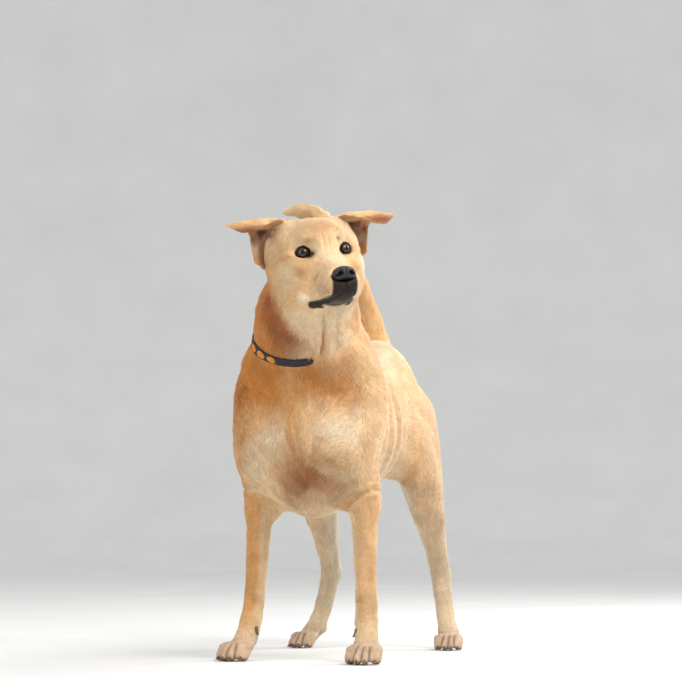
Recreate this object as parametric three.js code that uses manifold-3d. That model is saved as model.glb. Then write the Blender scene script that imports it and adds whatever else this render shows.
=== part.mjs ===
// A stocky, short-coated tan dog, life-size, standing square with its head raised and turned to its left.
// Millimetres. The dog faces -Y, its left side is +X and +Z is up. The origin is on the floor, under the
// middle of the bounding box. The whole body is one implicit shape, a smooth union of ellipsoids and tapered
// limbs out to the tips of the coat. Each region is a loft whose rays end on that shape, parted from its
// neighbours by thin plane cuts.
import * as THREE from 'three';
import { mergeVertices } from 'three/addons/utils/BufferGeometryUtils.js';
import Module from 'manifold-3d';

const wasm = await Module();
wasm.setup();

const V = (x, y, z) => new THREE.Vector3(x, y, z);
const LEFT = 1;
const RIGHT = -1;
const SIDES = [['left', LEFT], ['right', RIGHT]];

// ---- Driving dimensions ----
// Thin gap left by each cut between two nodes.
const CUT_GAP = 0.4;
// How far a ray may run beyond a cut before it is stopped, so that the loft fills its node up to the cut.
const CLIP_MARGIN = 40;
const EVERYTHING = 3000;
const GROIN_MARGIN = 8;
const ARMPIT_MARGIN = 6;
const RAY_LIMIT = 600;
const STEP_BACK = 0.8;

const WITHERS_HEIGHT = 538;
const BRISKET_HEIGHT = 231;
const CROUP_HEIGHT = 549;
const CHEST_HALF_WIDTH = 96;
const BARREL_HALF_WIDTH = 104;
const SHOULDER_HALF_WIDTH = 133;
const BODY_SHIFT = -6;

const HEAD_ORIGIN = V(67, -312, 657);
const HEAD_YAW = 33.5;
const HEAD_PITCH = 4;
const HEAD_ROLL = 7;
const PUPIL_HALF_GAP = 36.5;
const EYE_RADIUS = 12;
const EYE_SPLAY = 20;
const LID_OPENING = V(13, 13, 9.5);
const LID_OPENING_FORWARD = 7;

const FRONT_PAW = { width: 58, length: 80 };
const HIND_PAW = { width: 50, length: 72 };
const PAD_FLAT_DROP = 1.6;
const CLAW_RADIUS = 3.2;
const CLAW_LENGTH = 9;

const COLLAR_WIDTH = 14;
const COLLAR_THICKNESS = 3.2;
const COLLAR_SINK = 2.6;

const COAT_ROUGHNESS = 0.8;
const COLOURS = {
  tan: 0xdca868, cream: 0xe9cfa2, black: 0x1d1a1a, claw: 0x5b4a40, eye: 0x4a2c18, webbing: 0x25262a,
  buckle: 0x1b1b1d,
};

// ---- Implicit shape: negative inside, millimetres ----
const smoothMin = (a, b, k) => {
  const h = Math.max(k - Math.abs(a - b), 0) / k;
  return Math.min(a, b) - h * h * k * 0.25;
};

// Ellipsoid with half-axes radii, its own axes turned by the quaternion turn.
function ball(centre, radii, turn = null) {
  const back = turn ? turn.clone().invert() : null;
  const q = V(0, 0, 0);
  return (p) => {
    q.copy(p).sub(centre);
    if (back) q.applyQuaternion(back);
    const nx = q.x / radii.x;
    const ny = q.y / radii.y;
    const nz = q.z / radii.z;
    const k0 = Math.hypot(nx, ny, nz);
    const k1 = Math.hypot(nx / radii.x, ny / radii.y, nz / radii.z);
    return k1 < 1e-9 ? -Math.min(radii.x, radii.y, radii.z) : (k0 * (k0 - 1)) / k1;
  };
}

// Tapered round limb from a to b. Its section is stretched by the factor deep along the direction broad.
function limb(a, b, radiusA, radiusB, broad = null, deep = 1) {
  const ab = b.clone().sub(a);
  const span = ab.lengthSq();
  const q = V(0, 0, 0);
  const axisDir = ab.clone().normalize();
  const wide = broad ? broad.clone().addScaledVector(axisDir, -broad.dot(axisDir)).normalize() : null;
  return (p) => {
    q.copy(p).sub(a);
    const t = Math.min(Math.max(q.dot(ab) / span, 0), 1);
    q.addScaledVector(ab, -t);
    if (wide) q.addScaledVector(wide, q.dot(wide) * (1 / deep - 1));
    return q.length() - (radiusA + (radiusB - radiusA) * t);
  };
}

// Turn that lays an ellipsoid's own Z along the direction long, with its X as near to side as it can be.
function along(long, side) {
  const z = long.clone().normalize();
  const x = side.clone().addScaledVector(z, -side.dot(z)).normalize();
  const y = z.clone().cross(x);
  return new THREE.Quaternion().setFromRotationMatrix(new THREE.Matrix4().makeBasis(x, y, z));
}

function union(members) {
  return (p) => {
    let d = members[0][0](p);
    for (let i = 1; i < members.length; i += 1) d = smoothMin(d, members[i][0](p), members[i][1]);
    return d;
  };
}

// ---- Head, in its own frame: origin between the pupils, +X to its left, +Y backward, +Z up ----
const headTurn = new THREE.Quaternion()
  .setFromAxisAngle(V(0, 0, 1), THREE.MathUtils.degToRad(HEAD_YAW))
  .multiply(new THREE.Quaternion().setFromAxisAngle(V(1, 0, 0), THREE.MathUtils.degToRad(-HEAD_PITCH)))
  .multiply(new THREE.Quaternion().setFromAxisAngle(V(0, 1, 0), THREE.MathUtils.degToRad(-HEAD_ROLL)));
const headMatrix = new THREE.Matrix4().compose(HEAD_ORIGIN, headTurn, V(1, 1, 1));
const headInverse = headMatrix.clone().invert();
const headPoint = (x, y, z) => V(x, y, z).applyMatrix4(headMatrix);
const headDirection = (x, y, z) => V(x, y, z).applyQuaternion(headTurn);

function bothSides(make) {
  return [make(LEFT), make(RIGHT)];
}

const skull = union([
  [ball(V(0, 60, 6), V(59, 68, 58)), 0],
  [ball(V(0, 20, 12), V(42, 36, 36)), 24],
  ...bothSides((s) => [ball(V(s * 40, 68, 38), V(26, 34, 24)), 18]),
  ...bothSides((s) => [ball(V(s * 26, 8, 17), V(18, 18, 13)), 10]),
  ...bothSides((s) => [ball(V(s * 46, 46, -6), V(21, 40, 34)), 18]),
  ...bothSides((s) => [ball(V(s * 41, 34, -28), V(26, 42, 28)), 22]),
  ...bothSides((s) => [ball(V(s * 33, 40, -54), V(29, 44, 31)), 24]),
  ...bothSides((s) => [ball(V(s * 58, 78, 22), V(22, 26, 26)), 16]),
  [limb(V(0, -6, -32), V(0, -74, -56), 28, 19), 16],
  ...bothSides((s) => [ball(V(s * 15.5, -40, -65), V(17.5, 46, 22)), 14]),
  ...bothSides((s) => [ball(V(s * 11.5, -68, -65), V(14.5, 22, 18)), 10]),
  [limb(V(0, 25, -64), V(0, -56, -78), 29, 15), 14],
  [ball(V(0, -60, -80), V(17, 18, 13)), 8],
]);

// Eye sockets, taken out of the skull shape.
const eyeHollows = bothSides((s) => ball(V(s * 37, -4, -1), V(17, 12, 12)));
const carve = (d, hollow, k) => -smoothMin(-d, hollow, k);
const localHead = V(0, 0, 0);
function headField(p) {
  localHead.copy(p).applyMatrix4(headInverse);
  return eyeHollows.reduce((d, hollow) => carve(d, hollow(localHead), 7), skull(localHead));
}

// ---- Trunk, neck and limbs, in the body frame before the origin is moved ----
const legs = {
  front_left: {
    side: LEFT,
    elbow: V(92, -174, 272),
    wrist: V(100, -200, 98),
    pastern: V(105, -210, 52),
    paw: V(111, -232, 0),
    toeOut: 5,
  },
  front_right: {
    side: RIGHT,
    elbow: V(-92, -156, 272),
    wrist: V(-101, -172, 98),
    pastern: V(-106, -180, 52),
    paw: V(-115, -198, 0),
    toeOut: 12,
  },
  hind_left: {
    side: LEFT,
    hip: V(54, 186, 420),
    knee: V(90, 140, 306),
    hock: V(89, 284, 134),
    pastern: V(108, 256, 48),
    paw: V(119, 232, 0),
    toeOut: 12,
  },
  hind_right: {
    side: RIGHT,
    hip: V(-72, 186, 420),
    knee: V(-106, 138, 306),
    hock: V(-118, 288, 136),
    pastern: V(-132, 264, 48),
    paw: V(-146, 236, 0),
    toeOut: 16,
  },
};

const FORE_AFT = V(0, 1, 0);

const DEWCLAW_PAD = V(6.5, 7.5, 11);
const dewclawRoot = ({ side, pastern }) => pastern.clone().add(V(-side * 15, -7, 4));

function frontLegShape({ side, elbow, wrist, pastern, paw }) {
  const shoulderPoint = V(side * 77 + BODY_SHIFT, elbow.y - 42, 342);
  const forearmTop = elbow.clone().add(V(side * 1, -12, -18));
  const midForearm = forearmTop.clone().lerp(wrist, 0.5);
  const ball1 = paw.clone().add(V(0, 4, 24));
  return [
    [limb(shoulderPoint, elbow, 46, 30, FORE_AFT, 1.15), 30],
    [limb(elbow.clone().add(V(0, 14, 6)), forearmTop, 20, 24), 12],
    [limb(forearmTop, midForearm, 26, 20, FORE_AFT, 1.2), 14],
    [limb(midForearm, wrist, 20, 18, FORE_AFT, 1.1), 10],
    [limb(wrist, pastern, 19.5, 17.5, FORE_AFT, 1.02), 8],
    [limb(pastern, ball1, 17.5, 19), 8],
    [ball(dewclawRoot({ side, pastern }), DEWCLAW_PAD), 6],
  ];
}

function hindLegShape({ side, hip, knee, hock, pastern, paw }) {
  const thighLine = knee.clone().sub(hip);
  const thighCentre = hip.clone().lerp(knee, 0.5).add(V(0, 14, 0));
  const outward = V(side, 0, 0);
  const calf = knee.clone().lerp(hock, 0.42).add(V(0, 6, 6));
  const innerThigh = hip.clone().lerp(knee, 0.75).add(V(-side * 17, 50, -4));
  const ball1 = paw.clone().add(V(0, 4, 22));
  return [
    [ball(thighCentre, V(38, 78, 104), along(thighLine, outward)), 34],
    [limb(hip.clone().add(V(0, 54, -4)), knee.clone().lerp(hock, 0.3), 40, 26), 30],
    [ball(innerThigh, V(31, 42, 62), along(thighLine, outward)), 22],
    [limb(knee, calf, 36, 29, FORE_AFT, 1.1), 18],
    [limb(calf, hock, 29, 17, FORE_AFT, 1.15), 12],
    [limb(hock.clone().add(V(0, 8, 10)), hock, 14, 17), 8],
    [limb(hock, pastern, 18.5, 16.5, FORE_AFT, 1.15), 9],
    [limb(pastern, ball1, 16.5, 17), 8],
  ];
}

const centreLine = BODY_SHIFT;
const neckTop = headPoint(0, 74, -18);
const neckMiddle = V(2, -205, 556);
const body = [
  [ball(V(centreLine, -110, (WITHERS_HEIGHT + BRISKET_HEIGHT) / 2), V(CHEST_HALF_WIDTH, 140, 146)), 0],
  [ball(V(centreLine, 0, 398), V(BARREL_HALF_WIDTH, 165, 128)), 30],
  [ball(V(centreLine, 110, 420), V(82, 160, 106)), 34],
  [ball(V(centreLine, 188, 446), V(74, 94, 98)), 30],
  [ball(V(centreLine + 2, 176, 472), V(60, 92, CROUP_HEIGHT - 472)), 24],
  [ball(V(centreLine, -100, 482), V(46, 92, WITHERS_HEIGHT - 482)), 30],
  [ball(V(centreLine, -206, 376), V(74, 64, 98)), 34],
  [ball(V(centreLine, -170, 300), V(60, 74, 70)), 26],
  [ball(V(centreLine, -110, 302), V(56, 110, 62)), 26],
  [ball(V(2, -196, 486), V(100, 76, 56)), 34],
  ...bothSides((s) => [
    ball(V(s * (SHOULDER_HALF_WIDTH - 50) + BODY_SHIFT, -168, 416), V(49, 72, 104)), 30,
  ]),
  [limb(V(centreLine, -120, 430), neckMiddle, 100, 81), 40],
  [limb(neckMiddle, neckTop, 81, 62), 30],
  [limb(V(12, -258, 528), headPoint(0, 26, -64), 56, 40), 30],
  ...frontLegShape(legs.front_left),
  ...frontLegShape(legs.front_right),
  ...hindLegShape(legs.hind_left),
  ...hindLegShape(legs.hind_right),
];

const tailPath = new THREE.CatmullRomCurve3([
  V(-8, 236, 500), V(-22, 262, 546), V(-42, 266, 594), V(-62, 256, 650), V(-80, 240, 704),
  V(-100, 222, 754), V(-128, 204, 784), V(-160, 192, 790), V(-176, 188, 786),
]);
const tailRadius = (t) => 24 - 9 * t + 3.5 * Math.sin(Math.PI * t) - 8 * Math.max(t - 0.85, 0) / 0.15;
const tailLinks = 14;
for (let i = 0; i < tailLinks; i += 1) {
  const from = i / tailLinks;
  const to = (i + 1) / tailLinks;
  const link = limb(tailPath.getPointAt(from), tailPath.getPointAt(to), tailRadius(from), tailRadius(to));
  body.push([link, i === 0 ? 20 : 6]);
}

const bodyField = union(body);
const dogField = (p) => smoothMin(bodyField(p), headField(p), 30);

// ---- Meshing ----
// A cut keeps the side its normal points away from: {normal, offset} with normal . p < offset kept.
function cut(normal, point, margin = CLIP_MARGIN) {
  const n = normal.clone().normalize();
  return { normal: n, offset: n.dot(point), margin };
}
const flip = (c) => ({ normal: c.normal.clone().negate(), offset: -c.offset, margin: c.margin });

const probe = V(0, 0, 0);
function reach(field, from, direction, cuts, inflate) {
  let limit = RAY_LIMIT;
  for (const c of cuts) {
    const slope = c.normal.dot(direction);
    if (slope > 1e-6) {
      const room = c.offset + c.margin - c.normal.dot(from);
      limit = Math.min(limit, Math.max(room, 0.5) / slope);
    }
  }
  const depthAt = (t) => field(probe.copy(from).addScaledVector(direction, t)) - inflate;
  let t = 0;
  let d = depthAt(0);
  while (d < 0 && t < limit) {
    t += Math.max(0.6, -d * 0.6);
    d = depthAt(t);
  }
  if (t >= limit) {
    if (depthAt(limit) < 0) return limit;
    t = limit;
  }
  // The crossing is the last one before t: it is bracketed by small steps back, then halved.
  let inside = 0;
  let outside = t;
  for (let back = t - STEP_BACK; back > 0; back -= STEP_BACK) {
    if (depthAt(back) < 0) {
      inside = back;
      break;
    }
    outside = back;
  }
  for (let i = 0; i < 12; i += 1) {
    const middle = (inside + outside) / 2;
    if (depthAt(middle) < 0) inside = middle;
    else outside = middle;
  }
  return Math.max(inside, 0.3);
}

// Rings of rays square to the axis, closed by a fan of rays at each end.
function loft(field, { axis, stations, sides, caps, up }, cuts = [], inflate = 0) {
  const positions = [];
  const rows = [];
  const addRow = (centre, tangent, tilt) => {
    const across = tangent.clone().cross(up).normalize();
    const over = across.clone().cross(tangent).normalize();
    const row = [];
    for (let i = 0; i < sides; i += 1) {
      const angle = (2 * Math.PI * i) / sides;
      const ray = over.clone().multiplyScalar(Math.cos(angle)).addScaledVector(across, Math.sin(angle));
      ray.multiplyScalar(Math.cos(tilt)).addScaledVector(tangent, Math.sin(tilt)).normalize();
      const end = centre.clone().addScaledVector(ray, reach(field, centre, ray, cuts, inflate));
      row.push(positions.length / 3);
      positions.push(end.x, end.y, end.z);
    }
    rows.push(row);
  };
  const addPole = (centre, direction) => {
    const end = centre.clone().addScaledVector(direction, reach(field, centre, direction, cuts, inflate));
    positions.push(end.x, end.y, end.z);
    return positions.length / 3 - 1;
  };
  const first = axis.getPointAt(0);
  const last = axis.getPointAt(1);
  const startTangent = axis.getTangentAt(0);
  const endTangent = axis.getTangentAt(1);
  const startPole = addPole(first, startTangent.clone().negate());
  for (let i = 1; i < caps; i += 1) addRow(first, startTangent, -(Math.PI / 2) * (1 - i / caps));
  for (const t of stations) addRow(axis.getPointAt(t), axis.getTangentAt(t), 0);
  for (let i = 1; i < caps; i += 1) addRow(last, endTangent, (Math.PI / 2) * (i / caps));
  const endPole = addPole(last, endTangent);
  const faces = [];
  for (let i = 0; i < sides; i += 1) {
    const j = (i + 1) % sides;
    faces.push(startPole, rows[0][i], rows[0][j]);
    for (let r = 0; r + 1 < rows.length; r += 1) {
      faces.push(rows[r][i], rows[r + 1][i], rows[r][j]);
      faces.push(rows[r][j], rows[r + 1][i], rows[r + 1][j]);
    }
    const end = rows[rows.length - 1];
    faces.push(endPole, end[j], end[i]);
  }
  return solidOf(positions, faces);
}

function solidOf(positions, faces) {
  const mesh = new wasm.Mesh({
    numProp: 3,
    vertProperties: new Float32Array(positions),
    triVerts: new Uint32Array(faces),
  });
  const solid = new wasm.Manifold(mesh);
  return solid.volume() < 0 ? solidOf(positions, faces.slice().reverse()) : solid;
}

function solidOfGeometry(geometry, matrix = new THREE.Matrix4()) {
  const bare = geometry.clone().applyMatrix4(matrix);
  bare.deleteAttribute('normal');
  bare.deleteAttribute('uv');
  const merged = mergeVertices(bare, 1e-4);
  return solidOf(merged.attributes.position.array, merged.index.array);
}

// Keeps what lies behind every cut, half a gap short of it.
const within = (solid, cuts) => cuts.reduce(
  (rest, c) => rest.trimByPlane(c.normal.clone().negate().toArray(), -(c.offset - CUT_GAP / 2)),
  solid,
);
// The block of space behind every cut, half a gap beyond it.
const wedge = (cuts) => cuts.reduce(
  (rest, c) => rest.trimByPlane(c.normal.clone().negate().toArray(), -(c.offset + CUT_GAP / 2)),
  solidOfGeometry(new THREE.BoxGeometry(EVERYTHING, EVERYTHING, EVERYTHING)),
);

const evenly = (count) => Array.from({ length: count + 1 }, (_, i) => i / count);
function line(...points) {
  return points.length === 2 ? new THREE.LineCurve3(...points) : new THREE.CatmullRomCurve3(points);
}

// ---- Cut planes ----
const neckBaseCut = cut(V(0, -0.574, 0.819), V(0, -285, 412));
const headCut = cut(headDirection(0, 0.888, -0.46), headPoint(0, 80, -28));
const chestCut = cut(V(0, 1, 0), V(0, 30, 400));
const rumpCut = cut(V(0, 1, 0.25), V(0, 150, 440));
const tailRootCut = cut(tailPath.getTangentAt(0.09).negate(), tailPath.getPointAt(0.09));

function frontLegCuts({ side, elbow }) {
  return [
    cut(V(-side * 0.6, 0, 0.8), V(side * 66, elbow.y, 246)),
    cut(V(-side, 0, 0), V(side * 56, 0, 0), ARMPIT_MARGIN),
    cut(V(0, 1, -0.2), V(0, elbow.y + 70, 270)),
  ];
}

function hindLegCuts({ side, knee }) {
  return [
    cut(V(-side * 0.74, 0, 0.67), V(side * 30 + BODY_SHIFT, 0, 332)),
    cut(V(-side, 0, 0), V(side * 27 + BODY_SHIFT, 0, 0), GROIN_MARGIN),
    cut(V(-side * 0.75, -1, 0.3), V(side * 100, knee.y - 36, 330)),
  ];
}

// ---- Nodes ----
const model = new THREE.Group();

function addNode(name, solid, colour, roughness, metalness = 0) {
  const mesh = solid.getMesh();
  const geometry = new THREE.BufferGeometry();
  geometry.setAttribute('position', new THREE.BufferAttribute(Float32Array.from(mesh.vertProperties), 3));
  geometry.setIndex(new THREE.BufferAttribute(Uint32Array.from(mesh.triVerts), 1));
  geometry.computeVertexNormals();
  const material = new THREE.MeshStandardMaterial({ color: colour, roughness, metalness });
  const node = new THREE.Mesh(geometry, material);
  node.name = name;
  model.add(node);
}

// Trunk: one loft from the forechest to the buttocks, parted into chest, belly and rump.
const WEDGE_OVERRUN = 22;
const legWedgeCuts = [
  ...['front_left', 'front_right'].map((name) => frontLegCuts(legs[name])),
  ...['hind_left', 'hind_right'].map((name) => hindLegCuts(legs[name])),
];
function trunkField(p) {
  let d = dogField(p);
  for (const cuts of legWedgeCuts) {
    const depth = Math.min(...cuts.map((c) => c.offset - c.normal.dot(p)));
    d = Math.max(d, depth - WEDGE_OVERRUN);
  }
  return d;
}
const trunkLoft = loft(trunkField, {
  axis: line(
    V(centreLine, -150, 385),
    V(centreLine, -40, 398),
    V(centreLine, 80, 416),
    V(centreLine, 200, 440),
  ),
  stations: evenly(11),
  sides: 22,
  caps: 6,
  up: V(0, 0, 1),
}, [neckBaseCut, flip(tailRootCut)]);
const trunk = within(
  legWedgeCuts.reduce((rest, cuts) => rest.subtract(wedge(cuts)), trunkLoft),
  [neckBaseCut, flip(tailRootCut)],
);
addNode('chest', within(trunk, [chestCut]), COLOURS.tan, COAT_ROUGHNESS);
addNode('belly', within(trunk, [flip(chestCut), rumpCut]), COLOURS.tan, COAT_ROUGHNESS);
addNode('rump', within(trunk, [flip(rumpCut)]), COLOURS.tan, COAT_ROUGHNESS);

// Collar: a band round the neck, sunk a little into the coat, closed by a buckle at the nape.
const collarCentre = V(4, -196, 540);
const collarNormal = V(0, -0.56, 0.83).normalize();
const collarAcross = V(1, 0, 0);
const collarBack = collarNormal.clone().cross(collarAcross).normalize();
// Angles are round the neck from the nape, in radians.
const BUCKLE_ANGLE = 0.24;
const BUCKLE_END_GAP = 0.006;
const BUCKLE_STEPS = 4;
const BUCKLE_OVERLAP = 6;
const BUCKLE_THICKNESS = 7.5;
const BAND_STEPS = 22;
const GROOVE_DEPTH = 40;

function band(from, to, steps, width, innerInflate, thickness) {
  const positions = [];
  const faces = [];
  for (let i = 0; i <= steps; i += 1) {
    const angle = from + ((to - from) * i) / steps;
    const ray = collarBack.clone().multiplyScalar(Math.cos(angle));
    ray.addScaledVector(collarAcross, Math.sin(angle));
    for (const edge of [-0.5, 0.5]) {
      const centre = collarCentre.clone().addScaledVector(collarNormal, edge * width);
      const inner = reach(dogField, centre, ray, [], innerInflate);
      for (const radius of [inner, inner + thickness]) {
        const point = centre.clone().addScaledVector(ray, radius);
        positions.push(point.x, point.y, point.z);
      }
    }
  }
  const corners = [0, 1, 3, 2];
  const quad = (a, b, c, d) => faces.push(a, b, c, a, c, d);
  for (let i = 0; i < steps; i += 1) {
    for (let k = 0; k < 4; k += 1) {
      const near = 4 * i + corners[k];
      const nearNext = 4 * i + corners[(k + 1) % 4];
      quad(near, nearNext, nearNext + 4, near + 4);
    }
  }
  const lastRow = 4 * steps;
  quad(0, 2, 3, 1);
  quad(lastRow, lastRow + 1, lastRow + 3, lastRow + 2);
  return solidOf(positions, faces);
}

const collarStart = BUCKLE_ANGLE;
const collarEnd = 2 * Math.PI - BUCKLE_ANGLE;
const collarBand = band(collarStart, collarEnd, BAND_STEPS, COLLAR_WIDTH, -COLLAR_SINK, COLLAR_THICKNESS);
const buckleHalf = BUCKLE_ANGLE - BUCKLE_END_GAP;
const buckleWidth = COLLAR_WIDTH + BUCKLE_OVERLAP;
const buckle = band(-buckleHalf, buckleHalf, BUCKLE_STEPS, buckleWidth, -COLLAR_SINK, BUCKLE_THICKNESS);
const grooveInflate = -COLLAR_SINK - 2 * CUT_GAP;
const grooveWidth = COLLAR_WIDTH + 2 * CUT_GAP;
const bedHalf = BUCKLE_ANGLE + 3 * BUCKLE_END_GAP;
const collarGroove = band(collarStart, collarEnd, BAND_STEPS, grooveWidth, grooveInflate, GROOVE_DEPTH);
const bedWidth = grooveWidth + BUCKLE_OVERLAP;
const buckleBed = band(-bedHalf, bedHalf, BUCKLE_STEPS, bedWidth, grooveInflate, GROOVE_DEPTH + 1);

// Eyes.
const eyes = SIDES.map(([name, s]) => {
  const splay = new THREE.Quaternion().setFromAxisAngle(V(0, 0, 1), s * THREE.MathUtils.degToRad(EYE_SPLAY));
  const gaze = V(0, -1, 0).applyQuaternion(splay);
  const centre = V(s * PUPIL_HALF_GAP, 0, 0).addScaledVector(gaze, -EYE_RADIUS);
  const lay = new THREE.Quaternion().setFromUnitVectors(V(0, 1, 0), gaze);
  const local = new THREE.Matrix4().compose(centre, lay, V(1, 1, 1));
  const matrix = headMatrix.clone().multiply(local);
  const sphere = (radius) => new THREE.SphereGeometry(radius, 11, 7);
  const opening = new THREE.SphereGeometry(1, 10, 6);
  opening.scale(LID_OPENING.x, LID_OPENING.y, LID_OPENING.z).translate(0, LID_OPENING_FORWARD, 0);
  return {
    name,
    solid: solidOfGeometry(sphere(EYE_RADIUS), matrix),
    socket: solidOfGeometry(sphere(EYE_RADIUS + CUT_GAP), matrix).add(solidOfGeometry(opening, matrix)),
  };
});

// Nose leather, with a dent for each nostril.
const noseShape = union([
  [ball(V(0, -86, -49), V(17, 14, 9.5)), 0],
  [ball(V(0, -90, -56), V(15, 12, 9.5)), 6],
  ...bothSides((s) => [ball(V(s * 10.5, -88, -54), V(8.5, 12, 8)), 4]),
]);
const nostrils = bothSides((s) => ball(V(s * 8, -102, -56), V(4.5, 5, 4)));
const localNose = V(0, 0, 0);
function noseField(p) {
  localNose.copy(p).applyMatrix4(headInverse);
  return nostrils.reduce((d, nostril) => carve(d, nostril(localNose), 3), noseShape(localNose));
}
const noseRays = {
  axis: line(headPoint(0, -80, -53), headPoint(0, -91, -55)),
  stations: evenly(2),
  sides: 13,
  caps: 3,
  up: headDirection(0, 0, 1),
};

// Neck.
const neckRays = {
  axis: line(V(0, -176, 468), headPoint(0, 64, -20)),
  stations: evenly(7),
  sides: 19,
  caps: 3,
  up: V(0, 1, 0.3),
};
const neckCuts = [flip(neckBaseCut), flip(headCut)];
const neckLoft = within(loft(dogField, neckRays, neckCuts), neckCuts);
const neckSolid = neckLoft.subtract(collarGroove).subtract(buckleBed);
addNode('neck', neckSolid, COLOURS.tan, COAT_ROUGHNESS);
addNode('collar', collarBand, COLOURS.webbing, 0.7);
addNode('collar_buckle', buckle, COLOURS.buckle, 0.4);

// Head, parted into the head proper, the muzzle and the lower jaw.
const headRays = {
  axis: line(headPoint(0, 56, -18), headPoint(0, -64, -62)),
  stations: evenly(12),
  sides: 24,
  caps: 5,
  up: headDirection(0, 0, 1),
};
const muzzleCut = cut(headDirection(0, 1, 0.25), headPoint(0, -14, -50));
const mouthCut = cut(headDirection(0, 0.05, 1), headPoint(0, -50, -80));
const headSolid = within(loft(dogField, headRays, [headCut]), [headCut])
  .subtract(loft(noseField, noseRays, [], CUT_GAP))
  .subtract(eyes[0].socket)
  .subtract(eyes[1].socket);
addNode('head', within(headSolid, [flip(muzzleCut)]), COLOURS.tan, COAT_ROUGHNESS);
addNode('muzzle', within(headSolid, [muzzleCut, flip(mouthCut)]), COLOURS.cream, COAT_ROUGHNESS);
addNode('lower_jaw', within(headSolid, [muzzleCut, mouthCut]), COLOURS.cream, COAT_ROUGHNESS);
addNode('nose', loft(noseField, noseRays), COLOURS.black, 0.35);
for (const eye of eyes) addNode(`eye_${eye.name}`, eye.solid, COLOURS.eye, 0.08);

// Ears: a cupped base that opens forward, and a flap that folds over its crest and points out sideways.
// Each station gives the leaf's inner edge, the ridge behind it and its outer edge, from the base to the tip.
const EAR_STATIONS = [
  { inner: V(44, 60, 28), ridge: V(64, 98, -4), outer: V(84, 78, -14), thickness: 7 },
  { inner: V(40, 56, 50), ridge: V(68, 100, 30), outer: V(97, 82, 14), thickness: 6 },
  { inner: V(40, 54, 60), ridge: V(72, 90, 54), outer: V(98, 75, 38), thickness: 5 },
  { inner: V(54, 52, 64), ridge: V(84, 74, 68), outer: V(109, 65, 56), thickness: 4.4 },
  { inner: V(86, 34, 50), ridge: V(102, 50, 64), outer: V(120, 60, 62), thickness: 4 },
  { inner: V(112, 38, 40), ridge: V(122, 49, 57), outer: V(130, 57, 62), thickness: 3.2 },
  { inner: V(142, 54, 57), ridge: V(144, 56, 59), outer: V(144, 58, 61), thickness: 2.2 },
];
const EAR_ROWS = 8;
const EAR_COLUMNS = 6;

const EAR_LIFT = { [LEFT]: -4, [RIGHT]: 4 };

function earSolid(s) {
  const spline = (key) => new THREE.CatmullRomCurve3(EAR_STATIONS.map((station) => station[key]));
  const inners = spline('inner');
  const ridges = spline('ridge');
  const outers = spline('outer');
  const thicknesses = EAR_STATIONS.map((station, i) => new THREE.Vector2(i, station.thickness));
  const thickness = new THREE.SplineCurve(thicknesses);
  const leaf = (u, v) => {
    const inner = inners.getPoint(u);
    const ridge = ridges.getPoint(u);
    const outer = outers.getPoint(u);
    const middle = inner.clone().add(outer).multiplyScalar(0.5);
    return ridge.clone()
      .addScaledVector(outer.sub(inner), 0.5 * v)
      .addScaledVector(middle.sub(ridge), v * v);
  };
  const step = 1e-3;
  const offsetPoint = (u, v, face) => {
    const u0 = Math.min(Math.max(u, step), 1 - step);
    const v0 = Math.min(Math.max(v, -1 + step), 1 - step);
    const along1 = leaf(u0 + step, v0).sub(leaf(u0 - step, v0));
    const along2 = leaf(u0, v0 + step).sub(leaf(u0, v0 - step));
    const normal = along1.cross(along2).normalize();
    const edge = 0.35 + 0.65 * Math.sqrt(Math.max(1 - v * v, 0));
    const point = leaf(u, v).addScaledVector(normal, 0.5 * face * thickness.getPoint(u).y * edge);
    return headPoint(s * point.x, point.y, point.z + EAR_LIFT[s] * u * u);
  };
  const positions = [];
  const faces = [];
  const columns = EAR_COLUMNS + 1;
  const index = (row, column, side) => (row * columns + column) * 2 + side;
  for (let row = 0; row <= EAR_ROWS; row += 1) {
    for (let column = 0; column < columns; column += 1) {
      for (const face of [-1, 1]) {
        const point = offsetPoint(row / EAR_ROWS, -1 + (2 * column) / EAR_COLUMNS, face);
        positions.push(point.x, point.y, point.z);
      }
    }
  }
  const quad = (a, b, c, d) => faces.push(a, b, c, a, c, d);
  const strip = (corner, count) => {
    for (let i = 0; i < count; i += 1) quad(corner(i, 0), corner(i + 1, 0), corner(i + 1, 1), corner(i, 1));
  };
  for (let row = 0; row < EAR_ROWS; row += 1) {
    strip((i, k) => index(row + k, i, 0), EAR_COLUMNS);
    strip((i, k) => index(row + 1 - k, i, 1), EAR_COLUMNS);
  }
  strip((i, k) => index(i, 0, k), EAR_ROWS);
  strip((i, k) => index(i, EAR_COLUMNS, 1 - k), EAR_ROWS);
  strip((i, k) => index(0, i, 1 - k), EAR_COLUMNS);
  strip((i, k) => index(EAR_ROWS, i, k), EAR_COLUMNS);
  return solidOf(positions, faces);
}
const earBed = loft(dogField, headRays, [headCut], CUT_GAP).add(loft(dogField, neckRays, neckCuts, CUT_GAP));
for (const [name, s] of SIDES) {
  addNode(`ear_${name}`, earSolid(s).subtract(earBed), COLOURS.tan, COAT_ROUGHNESS);
}

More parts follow.
